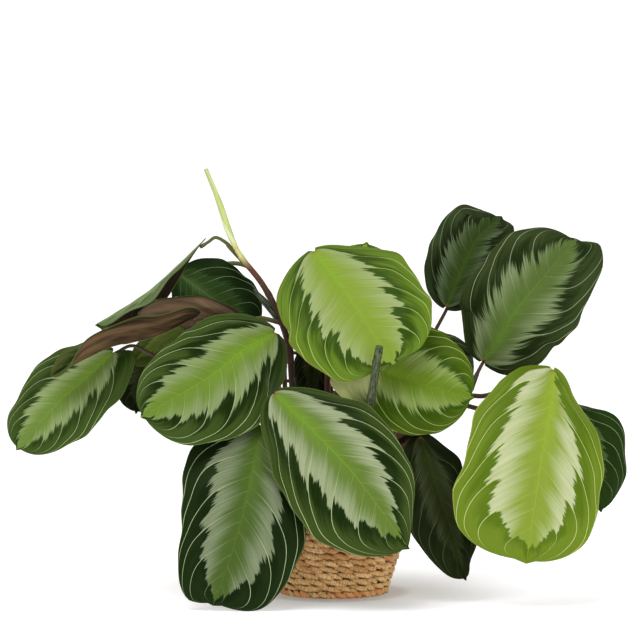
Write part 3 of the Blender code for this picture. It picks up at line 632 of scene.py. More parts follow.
BLADES = [
    # Front of the clump
    Blade("leaf_front_centre", [(-40, -60, 143), (-12, -84, 118), (12, -98, 93), (49, -110, 45)], (41, 47),
          face=(0.1, -1, 0.4), tip_face=(0.1, -1, 0.1), widest=(0.3, 0.55), round_tip=(1.35, 2.4), fold=8,
          bends=((0.10, -0.9, 0.14, -2, -6), (0.66, -1, 0.24, 9, 2), (0.20, 1, 0.16, 6, 2),
                 (0.96, 0.9, 0.12, 3, 3), (0.25, -1, 0.16, 0, -4))),
    Blade("leaf_front_low", [(-50, -50, 121), (-56, -76, 86), (-66, -92, 46), (-80, -98, 6)], (45, 40),
          face=(0, -1, 0.5), tip_face=(-0.1, -1, 0.05), widest=(0.55, 0.5), round_base=(2.1, 2.5),
          round_tip=(2.5, 2.5),
          bends=((0.28, 1, 0.20, -9, 4), (0.97, 0.9, 0.10, -2, -7), (0.88, 1, 0.12, -1, -1),
                 (0.93, -0.9, 0.12, 3, -3)), slot="leaf_dark_green", palette="shade"),
    Blade("leaf_front_left", [(-41, -16, 183), (-62, -36, 172), (-84, -56, 155), (-128, -84, 130)],
          (47, 36), face=(0, -1, 0.15), tip_face=(-0.1, -1, 0.2),
          bends=((0.08, 0.9, 0.12, 0, -3), (0.32, -1, 0.15, -4, 2)), palette="meadow"),
    Blade("leaf_front_top", [(-13, 0, 239), (11, -28, 208), (28, -46, 182), (40, -54, 165)], (49, 57),
          face=(0, -1, 0.5), tip_face=(0.1, -1, 0.1), widest=(0.52, 0.6), round_base=(1.9, 2.1),
          round_tip=(2.7, 2.7),
          bends=((0.05, -0.8, 0.12, 0, -3), (0.95, -0.8, 0.12, 5, -3), (0.75, 1, 0.20, 6, 5),
                 (0.40, 1, 0.15, 4, 0)), slot="leaf_light_green", palette="fresh"),
    Blade("leaf_centre_right", [(13, -28, 160), (33, -32, 157), (65, -40, 147), (94, -48, 140)], (41, 38),
          face=(0, -1, 0.4), tip_face=(0.2, -1, 0.2),
          bends=((0.48, -1, 0.15, 0, 2), (0.08, 0.9, 0.16, -15, 7)), slot="leaf_light_green",
          palette="olive"),
    Blade("leaf_right_low", [(151, -40, 158), (149, -56, 140), (141, -76, 104), (129, -96, 34)], (44, 56),
          face=(0, -1, 0.5), tip_face=(0, -1, 0.05), widest=(0.6, 0.62), round_base=(1.6, 2.1),
          round_tip=(2.7, 2.7),
          bends=((0.11, -0.9, 0.12, -7, -5), (0.06, 0.8, 0.12, -1, 6), (0.96, -0.7, 0.10, -5, 4),
                 (0.52, 1, 0.16, 3, 0), (0.93, 0.85, 0.14, -4, 0)), slot="leaf_light_green",
          palette="lime"),
    Blade("leaf_right_upright", [(106, 2, 163), (118, -4, 181), (130, -6, 201), (169, 4, 246)], (41, 41),
          face=(-0.1, -1, 0.1), tip_face=(0.1, -1, 0.4), widest=(0.48, 0.55), round_tip=(2.6, 2.6),
          bends=((0.04, -0.8, 0.12, 0, -5), (0.04, 0.8, 0.12, 0, -4), (0.97, 0.8, 0.13, 8, 9),
                 (0.75, 1, 0.18, -4, 1)), slot="leaf_dark_green", palette="deep"),
    Blade("leaf_right_back", [(81, 32, 200), (92, 34, 227), (103, 38, 248), (119, 44, 262)], (31, 26),
          face=(-0.2, -1, 0.2), tip_face=(0, -1, 0.4), widest=(0.6, 0.5), round_tip=(2.5, 2.5),
          bends=((0.60, -1, 0.20, 3, 0), (0.95, -0.7, 0.10, 2, -13), (0.97, 0.8, 0.12, 5, 2)),
          slot="leaf_dark_green", palette="dim_painted_shade"),
    Blade("leaf_right_outer", [(152, -6, 136), (168, -12, 120), (181, -16, 92), (186, -18, 60)], (26, 28),
          face=(0.2, -1, 0.4), tip_face=(0.3, -1, 0.1),
          bends=((0.48, -1, 0.16, 4, 2), (0.90, -1, 0.12, -1, 2), (0.14, -1, 0.14, -4, -7)),
          palette="evening_painted_shade"),
    Blade("leaf_centre_low", [(60, -38, 112), (70, -48, 80), (80, -54, 50), (90, -56, 17)], (19, 24),
          face=(0.2, -1, 0.3), tip_face=(0.2, -1, 0.05),
          bends=((0.24, -1, 0.12, 4, 3), (0.65, 1, 0.18, -4, 1), (0.94, -0.9, 0.10, -4, 2),
                 (0.05, -0.5, 0.12, 2, -6)), slot="leaf_dark_green", palette="night_painted_shade"),
    Blade("leaf_centre_back", [(42, 4, 152), (62, 10, 160), (80, 14, 160), (98, 16, 150)], (26, 26),
          face=(0.3, -1, 0.5), tip_face=(0.3, -0.8, 0.5), slot="leaf_dark_green", palette="deep"),
    Blade("leaf_centre_dark", [(-10, 24, 172), (-12, 28, 164), (-14, 31, 152), (-15, 32, 134)], (15, 15),
          face=(0, -1, 0.2), wave=0.8, lobe=1.5, slot="leaf_dark_green", palette="night_painted_shade"),
    Blade("leaf_left_outer", [(-153, -20, 169), (-171, -31, 152), (-189, -43, 136), (-215, -55, 106)],
          (32, 30), face=(0, -1, 0.8), tip_face=(-0.2, -1, 0.4),
          bends=((0.30, 1, 0.14, 0, 5), (0.06, -0.9, 0.14, 6, 10)), palette="glade"),
    Blade("leaf_left_dark", [(-126, 6, 170), (-132, 4, 154), (-136, 2, 140), (-138, 0, 127)], (18, 18),
          face=(-0.1, -1, 0.2), wave=0.8, lobe=1.5, slot="leaf_dark_green", palette="night_painted_shade"),
    Blade("leaf_left_small", [(-104, -11, 185), (-117, -11, 178), (-129, -10, 170), (-140, -9, 162)],
          (12, 11), face=(0, -1, 0.4), wave=0.4, lobe=0.5, slot="leaf_light_green", palette="mossy"),
    Blade("leaf_left_long", [(-94, -22, 195), (-124, -32, 181), (-155, -42, 174), (-192, -54, 155)],
          (20, 20), face=(0, 0.35, 1), tip_face=(-0.3, -0.9, 0.2), twist=4, fold=50, droop=0.15,
          bends=((0.84, 1, 0.18, 1, -2),), slot="leaf_maroon", palette="rolled"),
    Blade("leaf_left_folded", [(-66, 0, 190), (-90, -2, 192), (-112, -3, 193), (-138, -4, 189)], (17, 12),
          face=(0, 0.9, 0.3), fold=8, slot="leaf_maroon", palette="folded"),
    Blade("leaf_left_back", [(-109, 52, 221), (-98, 54, 213), (-82, 54, 201), (-56, 50, 182)], (29, 28),
          face=(0, -1, 0.2), tip_face=(0.2, -1, 0.2), slot="leaf_dark_green", palette="dusk_painted_shade"),
    Blade("leaf_left_high", [(-92, 24, 246), (-112, 23, 227), (-133, 21, 209), (-166, 16, 188)], (21, 28),
          face=(0, 0.45, 1), tip_face=(-0.2, 0.45, 1), widest=(0.65, 0.78), round_base=(1.3, 0.8),
          round_tip=(2.4, 2.8), fold=-36, droop=0.1, palette="awning"),
    # Back of the clump
    Blade("leaf_back_top", [(14, 18, 178), (16, 36, 200), (19, 50, 222), (24, 62, 243)], (34, 34),
          face=(0, -0.9, 0.5), tip_face=(0, -0.5, 0.8), fold=8, palette="fresh"),
    Blade("leaf_back_left", [(-44, 36, 150), (-62, 58, 150), (-84, 78, 136), (-104, 92, 110)], (36, 38),
          face=(0, 0.8, 0.6), tip_face=(-0.2, 1, 0.2)),
    Blade("leaf_back_low", [(-8, 62, 138), (-12, 84, 122), (-18, 100, 90), (-22, 104, 52)], (38, 38),
          face=(0, 0.8, 0.6), tip_face=(0, 1, 0.1), slot="leaf_dark_green", palette="shade"),
    Blade("leaf_back_right", [(32, 50, 140), (40, 68, 131), (46, 82, 108), (48, 90, 76)], (28, 26),
          face=(0, 0.8, 0.6), tip_face=(0.2, 1, 0.2)),
    Blade("leaf_back_high", [(-36, 56, 170), (-58, 80, 172), (-84, 98, 162), (-108, 106, 140)], (30, 32),
          face=(0, 0.7, 0.7), tip_face=(-0.3, 1, 0.4), slot="leaf_light_green", palette="fresh"),
]
BLADE_NAMED = {blade.name: blade for blade in BLADES}


def unit_normals(points, faces):
    """The surface's direction at each point, from the faces round it."""
    normals = np.zeros_like(points)
    for face in faces:
        corners = points[list(face)]
        normals[list(face)] += np.cross(corners[1] - corners[0], corners[2] - corners[0])
    return normals / np.linalg.norm(normals, axis=1)[:, None]


def blade_object(blade, seed, materials, size):
    """The finished blade: two faces with rounded margins between them."""
    rows, strips = size.blade_rows, size.blade_strips
    inner_places = [(1 - cos(pi * step / rows)) / 2 for step in range(1, rows)]
    even = [2 * step / strips - 1 for step in range(strips + 1)]
    across_places = [sin(pi / 2 * share) * 0.35 + share * 0.65 for share in even]
    pleat = size.pleat * min(1.0, sum(blade.wide) / 2 / TYPICAL_HALF_WIDTH)
    middle = blade.row(0.0, [0.0])
    places = [(0.0, 0.5 + seed)]
    for u in inner_places:
        middle += blade.row(u, across_places, seed, pleat, size.ripple)
        places += [(u, 0.5 + MAP_HALF_WIDTH * v + seed) for v in across_places]
    middle.append(blade.row(1.0, [0.0])[0] + point_along(blade.route, 1.0)[1] * TIP_POINT)
    places.append((1.0, 0.5 + seed))
    middle = np.array([point[:] for point in middle])
    total = len(middle)
    last = total - 1
    count = strips + 1
    lines = range(1, last, count)

    sheet = []
    for cell in range(strips):
        sheet += [(0, 2 + cell, 1 + cell), (last, last - count + cell, last - count + cell + 1)]
    for line in lines[:-1]:
        sheet += [(a, a + 1, a + count + 1, a + count) for a in range(line, line + strips)]
    margin = [0, *lines, last, *(line + strips for line in reversed(lines))]
    lower = [tuple(corner + total for corner in reversed(face)) for face in sheet]
    rim = [(a, a + total, b + total, b) for a, b in zip(margin, margin[1:] + margin[:1])]

    thickness = np.full(total, size.blade_thickness)
    thickness[margin] = MARGIN_THICKNESS * size.blade_thickness
    shift = unit_normals(middle, sheet) * (thickness * 0.5)[:, None]
    points = np.concatenate([middle + shift, middle - shift])
    points[:, 2] = np.maximum(points[:, 2], LOWEST)
    faces = sheet + lower + rim
    slots = [0] * len(sheet) + [1] * len(lower) + [0] * len(rim)
    mould = Mould()
    mould.add(points, faces, [[places[corner % total] for corner in face] for face in faces], slots)
    return mould.cast("dressed_" + blade.name, materials[blade.palette])


# Stems with their petioles

class Stem:
    """One stem: its foot, the points it climbs through, and its petioles.

    Each petiole goes by its blade's name and has the share of the climb at which it leaves the cane, and
    the points on its way.
    """

    def __init__(self, name, foot, climb, **petioles):
        self.name = name
        self.foot = Vector((*foot, 0)) * MM
        self.climb = in_metres(climb)
        self.petioles = petioles


STEMS = [
    Stem("stem_tall", (-24, 2),
         [(-27, 3, 120), (-29, 5, 150), (-31, 7, 172), (-39, 9, 196), (-50, 13, 216), (-62, 16, 231),
          (-68, 18, 240)],
         leaf_left_high=(0.87, [(-71.5, 22, 240), (-76, 23, 245), (-83, 24, 248.5)]),
         leaf_left_back=(0.8, [(-62, 46, 228), (-82, 71, 229), (-99, 69, 226)]),
         leaf_left_folded=(0.62, [(-52, 8, 192)])),
    Stem("stem_left", (-30, 14), [(-42, 16, 108), (-56, 14, 128), (-70, 8, 146), (-84, 4, 158)],
         leaf_left_long=(0.85, [(-80, -12, 178)]),
         leaf_left_outer=(0.95, [(-104, -10, 158), (-124, -22, 167), (-139, -22, 174)]),
         leaf_left_dark=(0.9, [(-104, 10, 166)]),
         leaf_left_small=(0.97, [(-92, 0, 168), (-101, -7, 180)])),
    Stem("stem_front", (-22, -26), [(-26, -28, 104), (-31, -30, 118), (-35, -28, 130)],
         leaf_front_left=(0.85, [(-34, -14, 158), (-35, -10, 176)]),
         leaf_front_centre=(0.8, [(-30, -46, 134), (-38, -54, 142)]),
         leaf_front_low=(0.55, [(-40, -38, 122)])),
    Stem("stem_centre", (-4, 6), [(-4, 8, 110), (-4, 10, 135), (-4, 12, 160)],
         leaf_front_top=(0.95, [(-8, 16, 190), (-14, 18, 222), (-17, 13, 236)]),
         leaf_back_top=(0.9, [(4, 14, 168)]),
         leaf_centre_dark=(0.7, [(-3, 18, 160), (-5, 20, 174)])),
    Stem("stem_right", (20, -4),
         [(30, -8, 98), (48, -14, 108), (70, -14, 120), (88, -10, 132), (97, -6, 144)],
         leaf_right_upright=(0.995, [(101, -2, 154)]),
         leaf_right_low=(0.93, [(110, -14, 140), (134, -26, 156)]),
         leaf_right_outer=(0.85, [(112, -4, 128), (134, 0, 136)])),
    Stem("stem_right_tall", (26, 16), [(34, 22, 110), (50, 36, 138), (64, 42, 164)],
         leaf_right_back=(0.98, [(73, 38, 182)]),
         leaf_centre_back=(0.4, [(38, 16, 142)])),
    Stem("stem_low", (12, -24), [(13, -24, 104), (14, -24, 120), (13, -24, 136)],
         leaf_centre_right=(0.95, [(8, -24, 152)]),
         leaf_centre_low=(0.35, [(30, -28, 116), (50, -34, 120)])),
    Stem("stem_back", (4, 30), [(2, 34, 108), (0, 38, 126), (-2, 42, 142)],
         leaf_back_left=(0.8, [(-20, 38, 144)]),
         leaf_back_low=(0.9, [(-6, 52, 142)]),
         leaf_back_right=(0.7, [(14, 43, 136)]),
         leaf_back_high=(0.97, [(-18, 46, 162)])),
]
CANE_RADIUS = 2.6 * MM
CANE_TOP_RADIUS = 1.9 * MM
CANE_SIDES = 16
PETIOLE_RADIUS = 1.5 * MM
PETIOLE_TIP_RADIUS = 1.1 * MM
PETIOLE_SIDES = 12
PETIOLE_JOIN = 0.05
PETIOLE_APPROACH = 7 * MM
APPROACH_DROP = 1.5 * MM
SOLID_THICKNESS = 0.9 * MM
SPAN_STEPS = 12
ABOVE_SOIL = 2 * MM
SOIL_TOP = 87 * MM
HOLE_DEPTH = 18 * MM
KNUCKLES = 4


def stem_material(name, foot, top, stalk):
    """Brown canes with a top of their own colour, petioles of theirs, and lengthwise lines on both."""
    g = Skin(name, 0.5, 0.22)
    x, y, _ = g.parts(g.place())
    lines = g.noise((x * 8.0, y * 26.0))
    spots = g.noise((x * 40.0, y * 12.0))
    cane = g.coats(foot, (g.step(x, 0.60, 0.80), colour(92, 52, 36)), (g.step(x, 0.80, 0.93), top))
    petiole = g.mix(g.step(x, 0.0, 0.25), colour(66, 48, 30), stalk)
    base = g.mix(g.math("GREATER_THAN", y, 1.0), cane, petiole)
    base = g.coats(base, (g.step(lines, 0.40, 0.75, 0.0, 0.6), g.mix(0.5, base, colour(30, 22, 14))),
                   (g.step(spots, 0.58, 0.72, 0.0, 0.4), colour(128, 112, 66)))
    return g.finish(base, lines, 0.3 * MM, 0.6)


def petiole_end(blade):
    """Where a petiole meets the underside of its blade, and the blade's directions there."""
    centre, along, _, facing = blade.directions(PETIOLE_JOIN)
    drop = SOLID_THICKNESS / 2 + 2 * CLEARANCE + PETIOLE_TIP_RADIUS
    return centre - facing * drop, along, facing


def stem_object(stem, made_of):
    """One leafy stem: its cane with swollen joints and a sheath below each petiole."""
    ground = stem.foot + Vector((0, 0, SOIL_TOP + ABOVE_SOIL))
    bottom = stem.foot + Vector((0, 0, SOIL_TOP - HOLE_DEPTH + CLEARANCE))
    climb = smooth_route([ground] + stem.climb, SPAN_STEPS)

    def knuckled(share, angle):
        near = cos(tau * (share * KNUCKLES + 0.35))
        return 1 + 0.16 * max(0.0, near) ** 14 + 0.02 * sin(3 * angle + 9 * share)

    mould = Mould()
    radii = [CANE_RADIUS] + list(np.linspace(CANE_RADIUS, CANE_TOP_RADIUS, len(climb)))
    add_tube(mould, [bottom] + climb, radii, CANE_SIDES, swell=knuckled)
    for seed, (blade_name, (share, way)) in enumerate(stem.petioles.items(), start=1):
        start = point_along(climb, share)[0]
        end, along, facing = petiole_end(BLADE_NAMED[blade_name])
        before_end = end - along * PETIOLE_APPROACH - facing * APPROACH_DROP
        line = smooth_route([start] + in_metres(way) + [before_end, end], SPAN_STEPS)
        sizes = tapered([(0, PETIOLE_RADIUS * 1.15), (0.3, PETIOLE_RADIUS * 1.1),
                         (0.34, PETIOLE_RADIUS * 0.9),
                         (0.86, PETIOLE_TIP_RADIUS), (0.9, PETIOLE_TIP_RADIUS * 1.25),
                         (0.98, PETIOLE_TIP_RADIUS * 1.2), (1, PETIOLE_TIP_RADIUS * 0.8)], len(line))
        add_tube(mould, line, sizes, PETIOLE_SIDES, seed=seed)
    return mould.cast("dressed_" + stem.name, [made_of])


# Young leaves and the stake

SHOOT_ROUTE = [(-74, 19, 254), (-81, 20, 275), (-90, 20, 297)]
SHOOT_RADII = (1.9, 2.6, 2.2, 1.5)
FURLED_ROUTE = [(-37.2, 11.2, 187), (-41, 14, 194), (-48, 17, 203), (-56, 19, 212)]
FURLED_RADII = (1.0, 2.4, 2.6, 0.8)
ROLLED_SIDES = 28
ROLLED_TURNS = 0.8
STAKE_FOOT = (17, -43)
STAKE_TOP = (31, -70, 176)
STAKE_RADIUS = 2.9 * MM
STAKE_SWELL = ((0.0, 1.0), (0.35, 1.0), (0.62, 1.0), (0.66, 1.12), (0.70, 1.0), (0.97, 0.96), (1.0, 0.86))
STAKE_RINGS = 90
STAKE_SIDES = 24


def shoot_material(skin):
    """Pale yellow-green, with the rolled edge's lighter line and a yellower foot."""
    g = Skin("shoot_skin", 0.38, 0.45)
    x, y, _ = g.parts(g.place())
    turn = g.fract(y + x * ROLLED_TURNS)
    lines = g.noise((x * 5.0, y * 30.0))
    base = g.coats(
        skin,
        (g.step(lines, 0.35, 0.7), colour(160, 178, 92)),
        (g.step(turn, 0.42, 0.5, 0.0, 0.7), colour(222, 226, 188)),
        (g.step(x, 0.70, 1.0, 0.0, 0.6), colour(150, 172, 86)),
        (g.step(x, 0.0, 0.22, 1.0, 0.0), colour(198, 190, 108)))
    return g.finish(base, lines + g.step(turn, 0.40, 0.46), 0.3 * MM, 0.7)


def furled_material(skin):
    """Dark green with pale lengthwise veins."""
    g = Skin("furled_skin", 0.4, 0.45)
    x, y, _ = g.parts(g.place())
    lines = g.noise((x * 3.0, y * 16.0))
    return g.finish(g.mix(g.step(lines, 0.5, 0.62), skin, colour(96, 108, 78)), lines, 0.4 * MM, 0.7)


def rolled_object(name, route, radii, made_of):
    """A leaf that is still rolled up: a slender spindle whose free edge winds round it."""
    line = smooth_route(route, SPAN_STEPS)
    shares = [index / (len(radii) - 1) for index in range(len(radii))]
    sizes = tapered(list(zip(shares, [radius * MM for radius in radii])), len(line))

    def wound(share, angle):
        return 0.92 + 0.12 * ((angle / tau + ROLLED_TURNS * share) % 1.0)

    mould = Mould()
    add_tube(mould, line, sizes, ROLLED_SIDES, swell=wound)
    return mould.cast("dressed_" + name, [made_of], crease=60)


def shoot_route():
    """The rolled leaf's route: it stands on the end of the tall stem, the first in the list."""
    below, top = STEMS[0].climb[-2:]
    seat = top + (top - below).normalized() * 2 * CLEARANCE
    return [seat] + in_metres(SHOOT_ROUTE)


def stake_material(dark, light):
    """Weathered grey-green wood with darker lengthwise cracks and rings."""
    g = Skin("weathered_stick", 0.75, 0.25)
    x, y, _ = g.parts(g.place())
    lines = g.noise((x * 10.0, y * 18.0), 4.0, 0.6)
    slant = x * 34.0 + y * 3.0
    rings = g.noise((slant, y * 2.0))
    cracks = abs(g.noise((slant * 0.45, y * 9.0)) - 0.5)
    base = g.coats(
        dark,
        (g.step(lines, 0.35, 0.65), light),
        (g.step(rings, 0.62, 0.70, 0.0, 0.6), colour(36, 42, 30)),
        (g.step(cracks, 0.035, 0.012, 0.0, 0.8), colour(24, 28, 22)))
    return g.finish(base, lines + g.step(cracks, 0.01, 0.05), 0.6 * MM, 0.8)


def stake_object(made_of):
    """The support stick, with its knot and a few rings."""
    top = Vector(STAKE_TOP) * MM
    ground = Vector((*STAKE_FOOT, 0)) * MM + Vector((0, 0, SOIL_TOP))
    lean = (top - ground).normalized()
    foot = ground - lean * (HOLE_DEPTH - CLEARANCE) / lean.z
    line = [foot.lerp(top, index / (STAKE_RINGS - 1)) for index in range(STAKE_RINGS)]
    sizes = [STAKE_RADIUS * swell for swell in tapered(STAKE_SWELL, STAKE_RINGS)]

    def gnarled(share, angle):
        return (1 + 0.045 * sin(3 * angle + 11 * share) + 0.03 * sin(7 * angle - 23 * share)
                - 0.05 * max(0.0, sin(tau * share * 5.3 + 0.4 * angle)) ** 20)

    mould = Mould()
    add_tube(mould, line, sizes, STAKE_SIDES, swell=gnarled)
    return mould.cast("dressed_stake", [made_of], crease=50)


# Basket, nursery pot and soil

BASKET_HEIGHT = 98 * MM
BASKET_RIM_RADIUS = 62.5 * MM
BASKET_TAPER = 24.5 * MM
BASKET_CURVE = 1.3
BASKET_WALL = 5 * MM
BASKET_BANDS = ("basket_lower_rows", "basket_middle_rows", "basket_upper_rows")
ROWS_A_BAND = 7
CORE_TURNS = 72
CORE_SIDES = 8
CORE_SEEDS = 400
STRAND_LENGTH = 10.5 * MM
LOWEST_ROW_STRANDS = 0.62
BOTTOM_STRANDS = 0.9
BOTTOM_ROWS_FROM = 40
STRANDS_A_ROW = 60
STRAND_STEPS = 12
STRAND_SIDES = 10
POT_HEIGHT = 91 * MM
POT_BASE_RADIUS = 32.5 * MM
POT_RIM_RADIUS = 54.5 * MM
POT_WALL = 1.4 * MM
POT_LIP = 1.2 * MM
POT_LIP_HEIGHT = 4 * MM
POT_SIDES = 96
SOIL_SIDES = 160
SOIL_RINGS = 60


def straw_material(dull, bright):
    """Dry grass: fibres along each strand, tan to golden by the strand, pale fibres that are partly painted
    highlight, painted shade on each strand's inner side between the rows, and painted light near the floor.
    """
    g = Skin("braided_grass", 0.62, 0.25)
    x, y, _ = g.parts(g.place())
    seed = g.math("FLOOR", y)
    turn = g.fract(y)
    place = g.position()
    height = g.parts(place)[2]
    tone = g.noise((x * 14.0, seed * 3.7), detail=0.0)
    fibre = g.noise((x * 130.0, turn * 24.0, seed), 3.0, 0.7)
    crinkle = g.noise((x * 420.0, turn * 6.0, seed), 3.0)
    fleck = g.noise(place, 2.0, 0.6, scale=620.0)
    rounding = abs(turn - 0.5) - (fleck - 0.5) * 0.30
    patches = g.step(g.noise(place, detail=1.0, scale=62.0), 0.42, 0.56)
    flush = g.step(tone * 0.014 - height, 0.0, 0.006, 0.0, 0.65) * patches
    base = g.coats(
        dull,
        (g.step(tone, 0.30, 0.70), bright),
        # Painted light: the straw is lighter towards the floor.
        (g.step(height, 0.030, 0.004, 0.0, 0.75), colour(255, 212, 142)),
        (g.step(crinkle, 0.52, 0.62, 0.0, 0.60), colour(168, 112, 58)),
        (g.step(fleck, 0.52, 0.64, 0.0, 0.58), colour(152, 92, 46)),
        (g.step(fibre, 0.44, 0.32, 0.0, 0.55), colour(122, 70, 34)),
        # Painted shade: each strand is darker on its inner side, where it dips into the gaps between the
        # rows.
        (g.step(rounding, 0.39, 0.27, 0.0, 0.90), colour(66, 34, 16)),
        # Pale fibres: partly the straw's own pale strands, partly painted highlight.
        (g.step(fibre, 0.58, 0.70, 0.0, 0.40), colour(255, 228, 176)),
        (flush, colour(232, 138, 76)))
    return g.finish(base, fibre + crinkle * 0.7, 0.6 * MM, 0.8)


def hand_made(place, seed):
    """A smooth value from -1 to 1 that wanders with place, for uneven hand work."""
    return (sin(place * 1.7 + seed * 2.1) + sin(place * 3.1 + seed * 4.7)
            + sin(place * 5.3 + seed * 1.3)) / 3


def chance(*seeds):
    """A value from 0 to 1 that is always the same for the same seeds."""
    mixed = sum(seed * step for seed, step in zip(seeds, (12.9898, 78.233, 37.719)))
    return (sin(mixed) * 43758.5453) % 1.0


def add_core_ring(mould, radius, height, thick, seed):
    """The round core that a row's strands are plaited over."""
    points = []
    for turn in range(CORE_TURNS):
        for side in range(CORE_SIDES):
            angle = tau * side / CORE_SIDES
            points.append(round_z(radius + thick * cos(angle), tau * turn / CORE_TURNS,
                                  height + thick * sin(angle)))

    def place(turn, side):
        return turn / CORE_TURNS, seed + 0.01 + 0.98 * side / CORE_SIDES

    rings = rings_of(CORE_TURNS, CORE_SIDES)
    mould.add(points, *ring_faces(rings + rings[:1], CORE_SIDES, place, ROUND_FIRST[::-1]))


def add_strand(mould, radius, height, thick, start, length, seed):
    """One visible turn of a strand: a plump spindle with grooves along it, its two ends tucked in."""
    tilt = thick * (0.55 + 0.35 * chance(seed, 1))
    plump = 0.86 + 0.26 * chance(seed, 2)
    proud = 0.25 * MM * (chance(seed, 3) - 0.5)
    fullness = 0.85 + 0.3 * chance(seed, 4)
    points = []
    for step in range(STRAND_STEPS + 1):
        share = step / STRAND_STEPS
        swell = sin(pi * (0.04 + 0.92 * share ** fullness))
        size = thick * plump * (0.22 + 0.78 * swell ** 0.9)
        radial = round_z(1.0, start + length * share)
        middle = radial * (radius + proud - 0.95 * thick * (1 - swell))
        middle.z = height + tilt * (1 - 2 * share) + 0.10 * thick * hand_made(share * 9, seed)
        for side in range(STRAND_SIDES):
            around = tau * side / STRAND_SIDES
            groove = (1 + 0.07 * sin(5 * around + 4 * share + seed)
                      + 0.05 * sin(9 * around - 7 * share))
            outward = radial * (cos(around) * 0.80) + Vector((0, 0, sin(around)))
            point = middle + outward * size * groove
            point.z = max(point.z, LOWEST)
            points.append(point)

    def place(step, side):
        turned = (start + length * step / STRAND_STEPS) / tau
        return turned, seed + 0.01 + 0.98 * side / STRAND_SIDES

    rings = rings_of(STRAND_STEPS + 1, STRAND_SIDES)
    faces, places = ring_faces(rings, STRAND_SIDES, place, ALONG_FIRST)
    for step, ring in ((0, rings[0]), (STRAND_STEPS, reversed(rings[-1]))):
        faces.append(tuple(ring))
        places.append([(place(step, 0)[0], seed + 0.5)] * STRAND_SIDES)
    mould.add(points, faces, places)


def add_row(mould, radius, height, thick, row, long):
    """One row of the braid: a core with strands plaited over it, each tucked under the next."""
    add_core_ring(mould, radius - 1.05 * thick, height, thick * 0.80, CORE_SEEDS + row)
    count = round(tau * radius / (STRAND_LENGTH * long))
    starts = [tau * (index + 0.44 * (chance(row, index) - 0.5)) / count for index in range(count)]
    for index, start in enumerate(starts):
        after = starts[(index + 1) % count] + (tau if index == count - 1 else 0)
        length = (after - start) * (1.50 + 0.20 * chance(row, index, 5))
        add_strand(mould, radius, height, thick, start + row * 0.7, length, row * STRANDS_A_ROW + index)


def basket_radius(height):
    """The basket's outer radius at a height, without its relief."""
    return BASKET_RIM_RADIUS - BASKET_TAPER * (1 - height / BASKET_HEIGHT) ** BASKET_CURVE


def basket_objects(made_of):
    """The basket in three bands of braided rows, with a coiled bottom in the lowest."""
    pitch = BASKET_HEIGHT / (ROWS_A_BAND * len(BASKET_BANDS))
    thick = pitch / 2 * 1.04
    bands = []
    for band, name in enumerate(BASKET_BANDS):
        mould = Mould()
        for row in range(band * ROWS_A_BAND, (band + 1) * ROWS_A_BAND):
            height = (row + 0.5) * pitch
            radius = basket_radius(height) + 0.7 * MM - 0.9 * thick + 0.2 * MM * hand_made(row * 2.0, 5)
            long = LOWEST_ROW_STRANDS if row == 0 else 1.0
            add_row(mould, radius, height, thick, row + 1, long)
        if band == 0:
            add_bottom(mould, thick, pitch)
        bands.append(mould.cast(name, [made_of]))
    return bands


def add_bottom(mould, thick, pitch):
    """The coiled bottom: rows that shrink to the middle."""
    radius = basket_radius(pitch / 2) - 2.6 * thick
    row = BOTTOM_ROWS_FROM
    while radius > 1.6 * thick:
        add_row(mould, radius, thick * 1.15, thick, row, BOTTOM_STRANDS)
        radius -= 1.9 * thick
        row += 1


def plastic_material(skin):
    """Black moulded plastic with a faint grain."""
    g = Skin("pot_plastic", 0.42)
    place = g.position()
    grain = g.noise(place, 3.0, scale=900.0)
    dust = g.noise(place, 3.0, scale=60.0)
    g.feed(g.shader["Roughness"], g.step(dust, 0.3, 0.8, 0.38, 0.6))
    return g.finish(g.mix(g.step(dust, 0.5, 0.8, 0.0, 0.5), skin, colour(52, 46, 40)), grain, 0.1 * MM, 0.5)


def turned_object(name, profile, sides, made_of, corners=ROUND_FIRST, crease=None):
    """A closed body turned about Z from a closed profile of (radius, height), axis points at radius 0.

    A height can be a function of x and y.
    """
    points = []
    rings = []
    for radius, height in profile:
        turns = sides if radius else 1
        rings.append(range(len(points), len(points) + turns))
        for turn in range(turns):
            angle = tau * turn / sides
            x, y = radius * cos(angle), radius * sin(angle)
            points.append((x, y, height(x, y) if callable(height) else height))
    mould = Mould()
    faces, places = ring_faces(rings, sides, lambda ring, turn: (ring / len(rings), turn / sides), corners)
    mould.add(points, faces, places)
    return mould.cast(name, [made_of], crease)


def pot_object(made_of):
    """The thin nursery pot with its rolled lip."""
    floor = BASKET_WALL + CLEARANCE
    inner_floor = floor + POT_WALL
    top = floor + POT_HEIGHT
    spread = (POT_RIM_RADIUS - POT_BASE_RADIUS) * (POT_HEIGHT - POT_LIP_HEIGHT) / POT_HEIGHT
    below_lip = POT_BASE_RADIUS + spread
    profile = [
        (0, floor), (POT_BASE_RADIUS - 1 * MM, floor), (POT_BASE_RADIUS, floor + 1 * MM),
        (below_lip, top - POT_LIP_HEIGHT), (below_lip + POT_LIP, top - POT_LIP_HEIGHT),
        (POT_RIM_RADIUS + POT_LIP, top - 0.5 * MM), (POT_RIM_RADIUS + 0.6 * POT_LIP, top),
        (POT_RIM_RADIUS - 0.7 * POT_WALL, top), (POT_RIM_RADIUS - POT_WALL, top - 0.5 * MM),
        (POT_BASE_RADIUS - POT_WALL, inner_floor), (0, inner_floor)]
    return turned_object("dressed_nursery_pot", profile, POT_SIDES, made_of, crease=40)


def soil_material(dark, light):
    """Dark moist potting mix with paler bark crumbs."""
    g = Skin("potting_mix", 0.92, 0.2)
    place = g.position()
    distance, cell, *_ = g.node("TexVoronoi", {"Vector": place, "Scale": 320.0})
    grain = g.noise(place, 4.0, 0.7, scale=500.0)
    base = g.coats(dark, (grain, light), (g.step(g.parts(cell)[0], 0.80, 0.86), colour(122, 92, 62)))
    return g.finish(base, grain + distance, 1.2 * MM, 0.9)


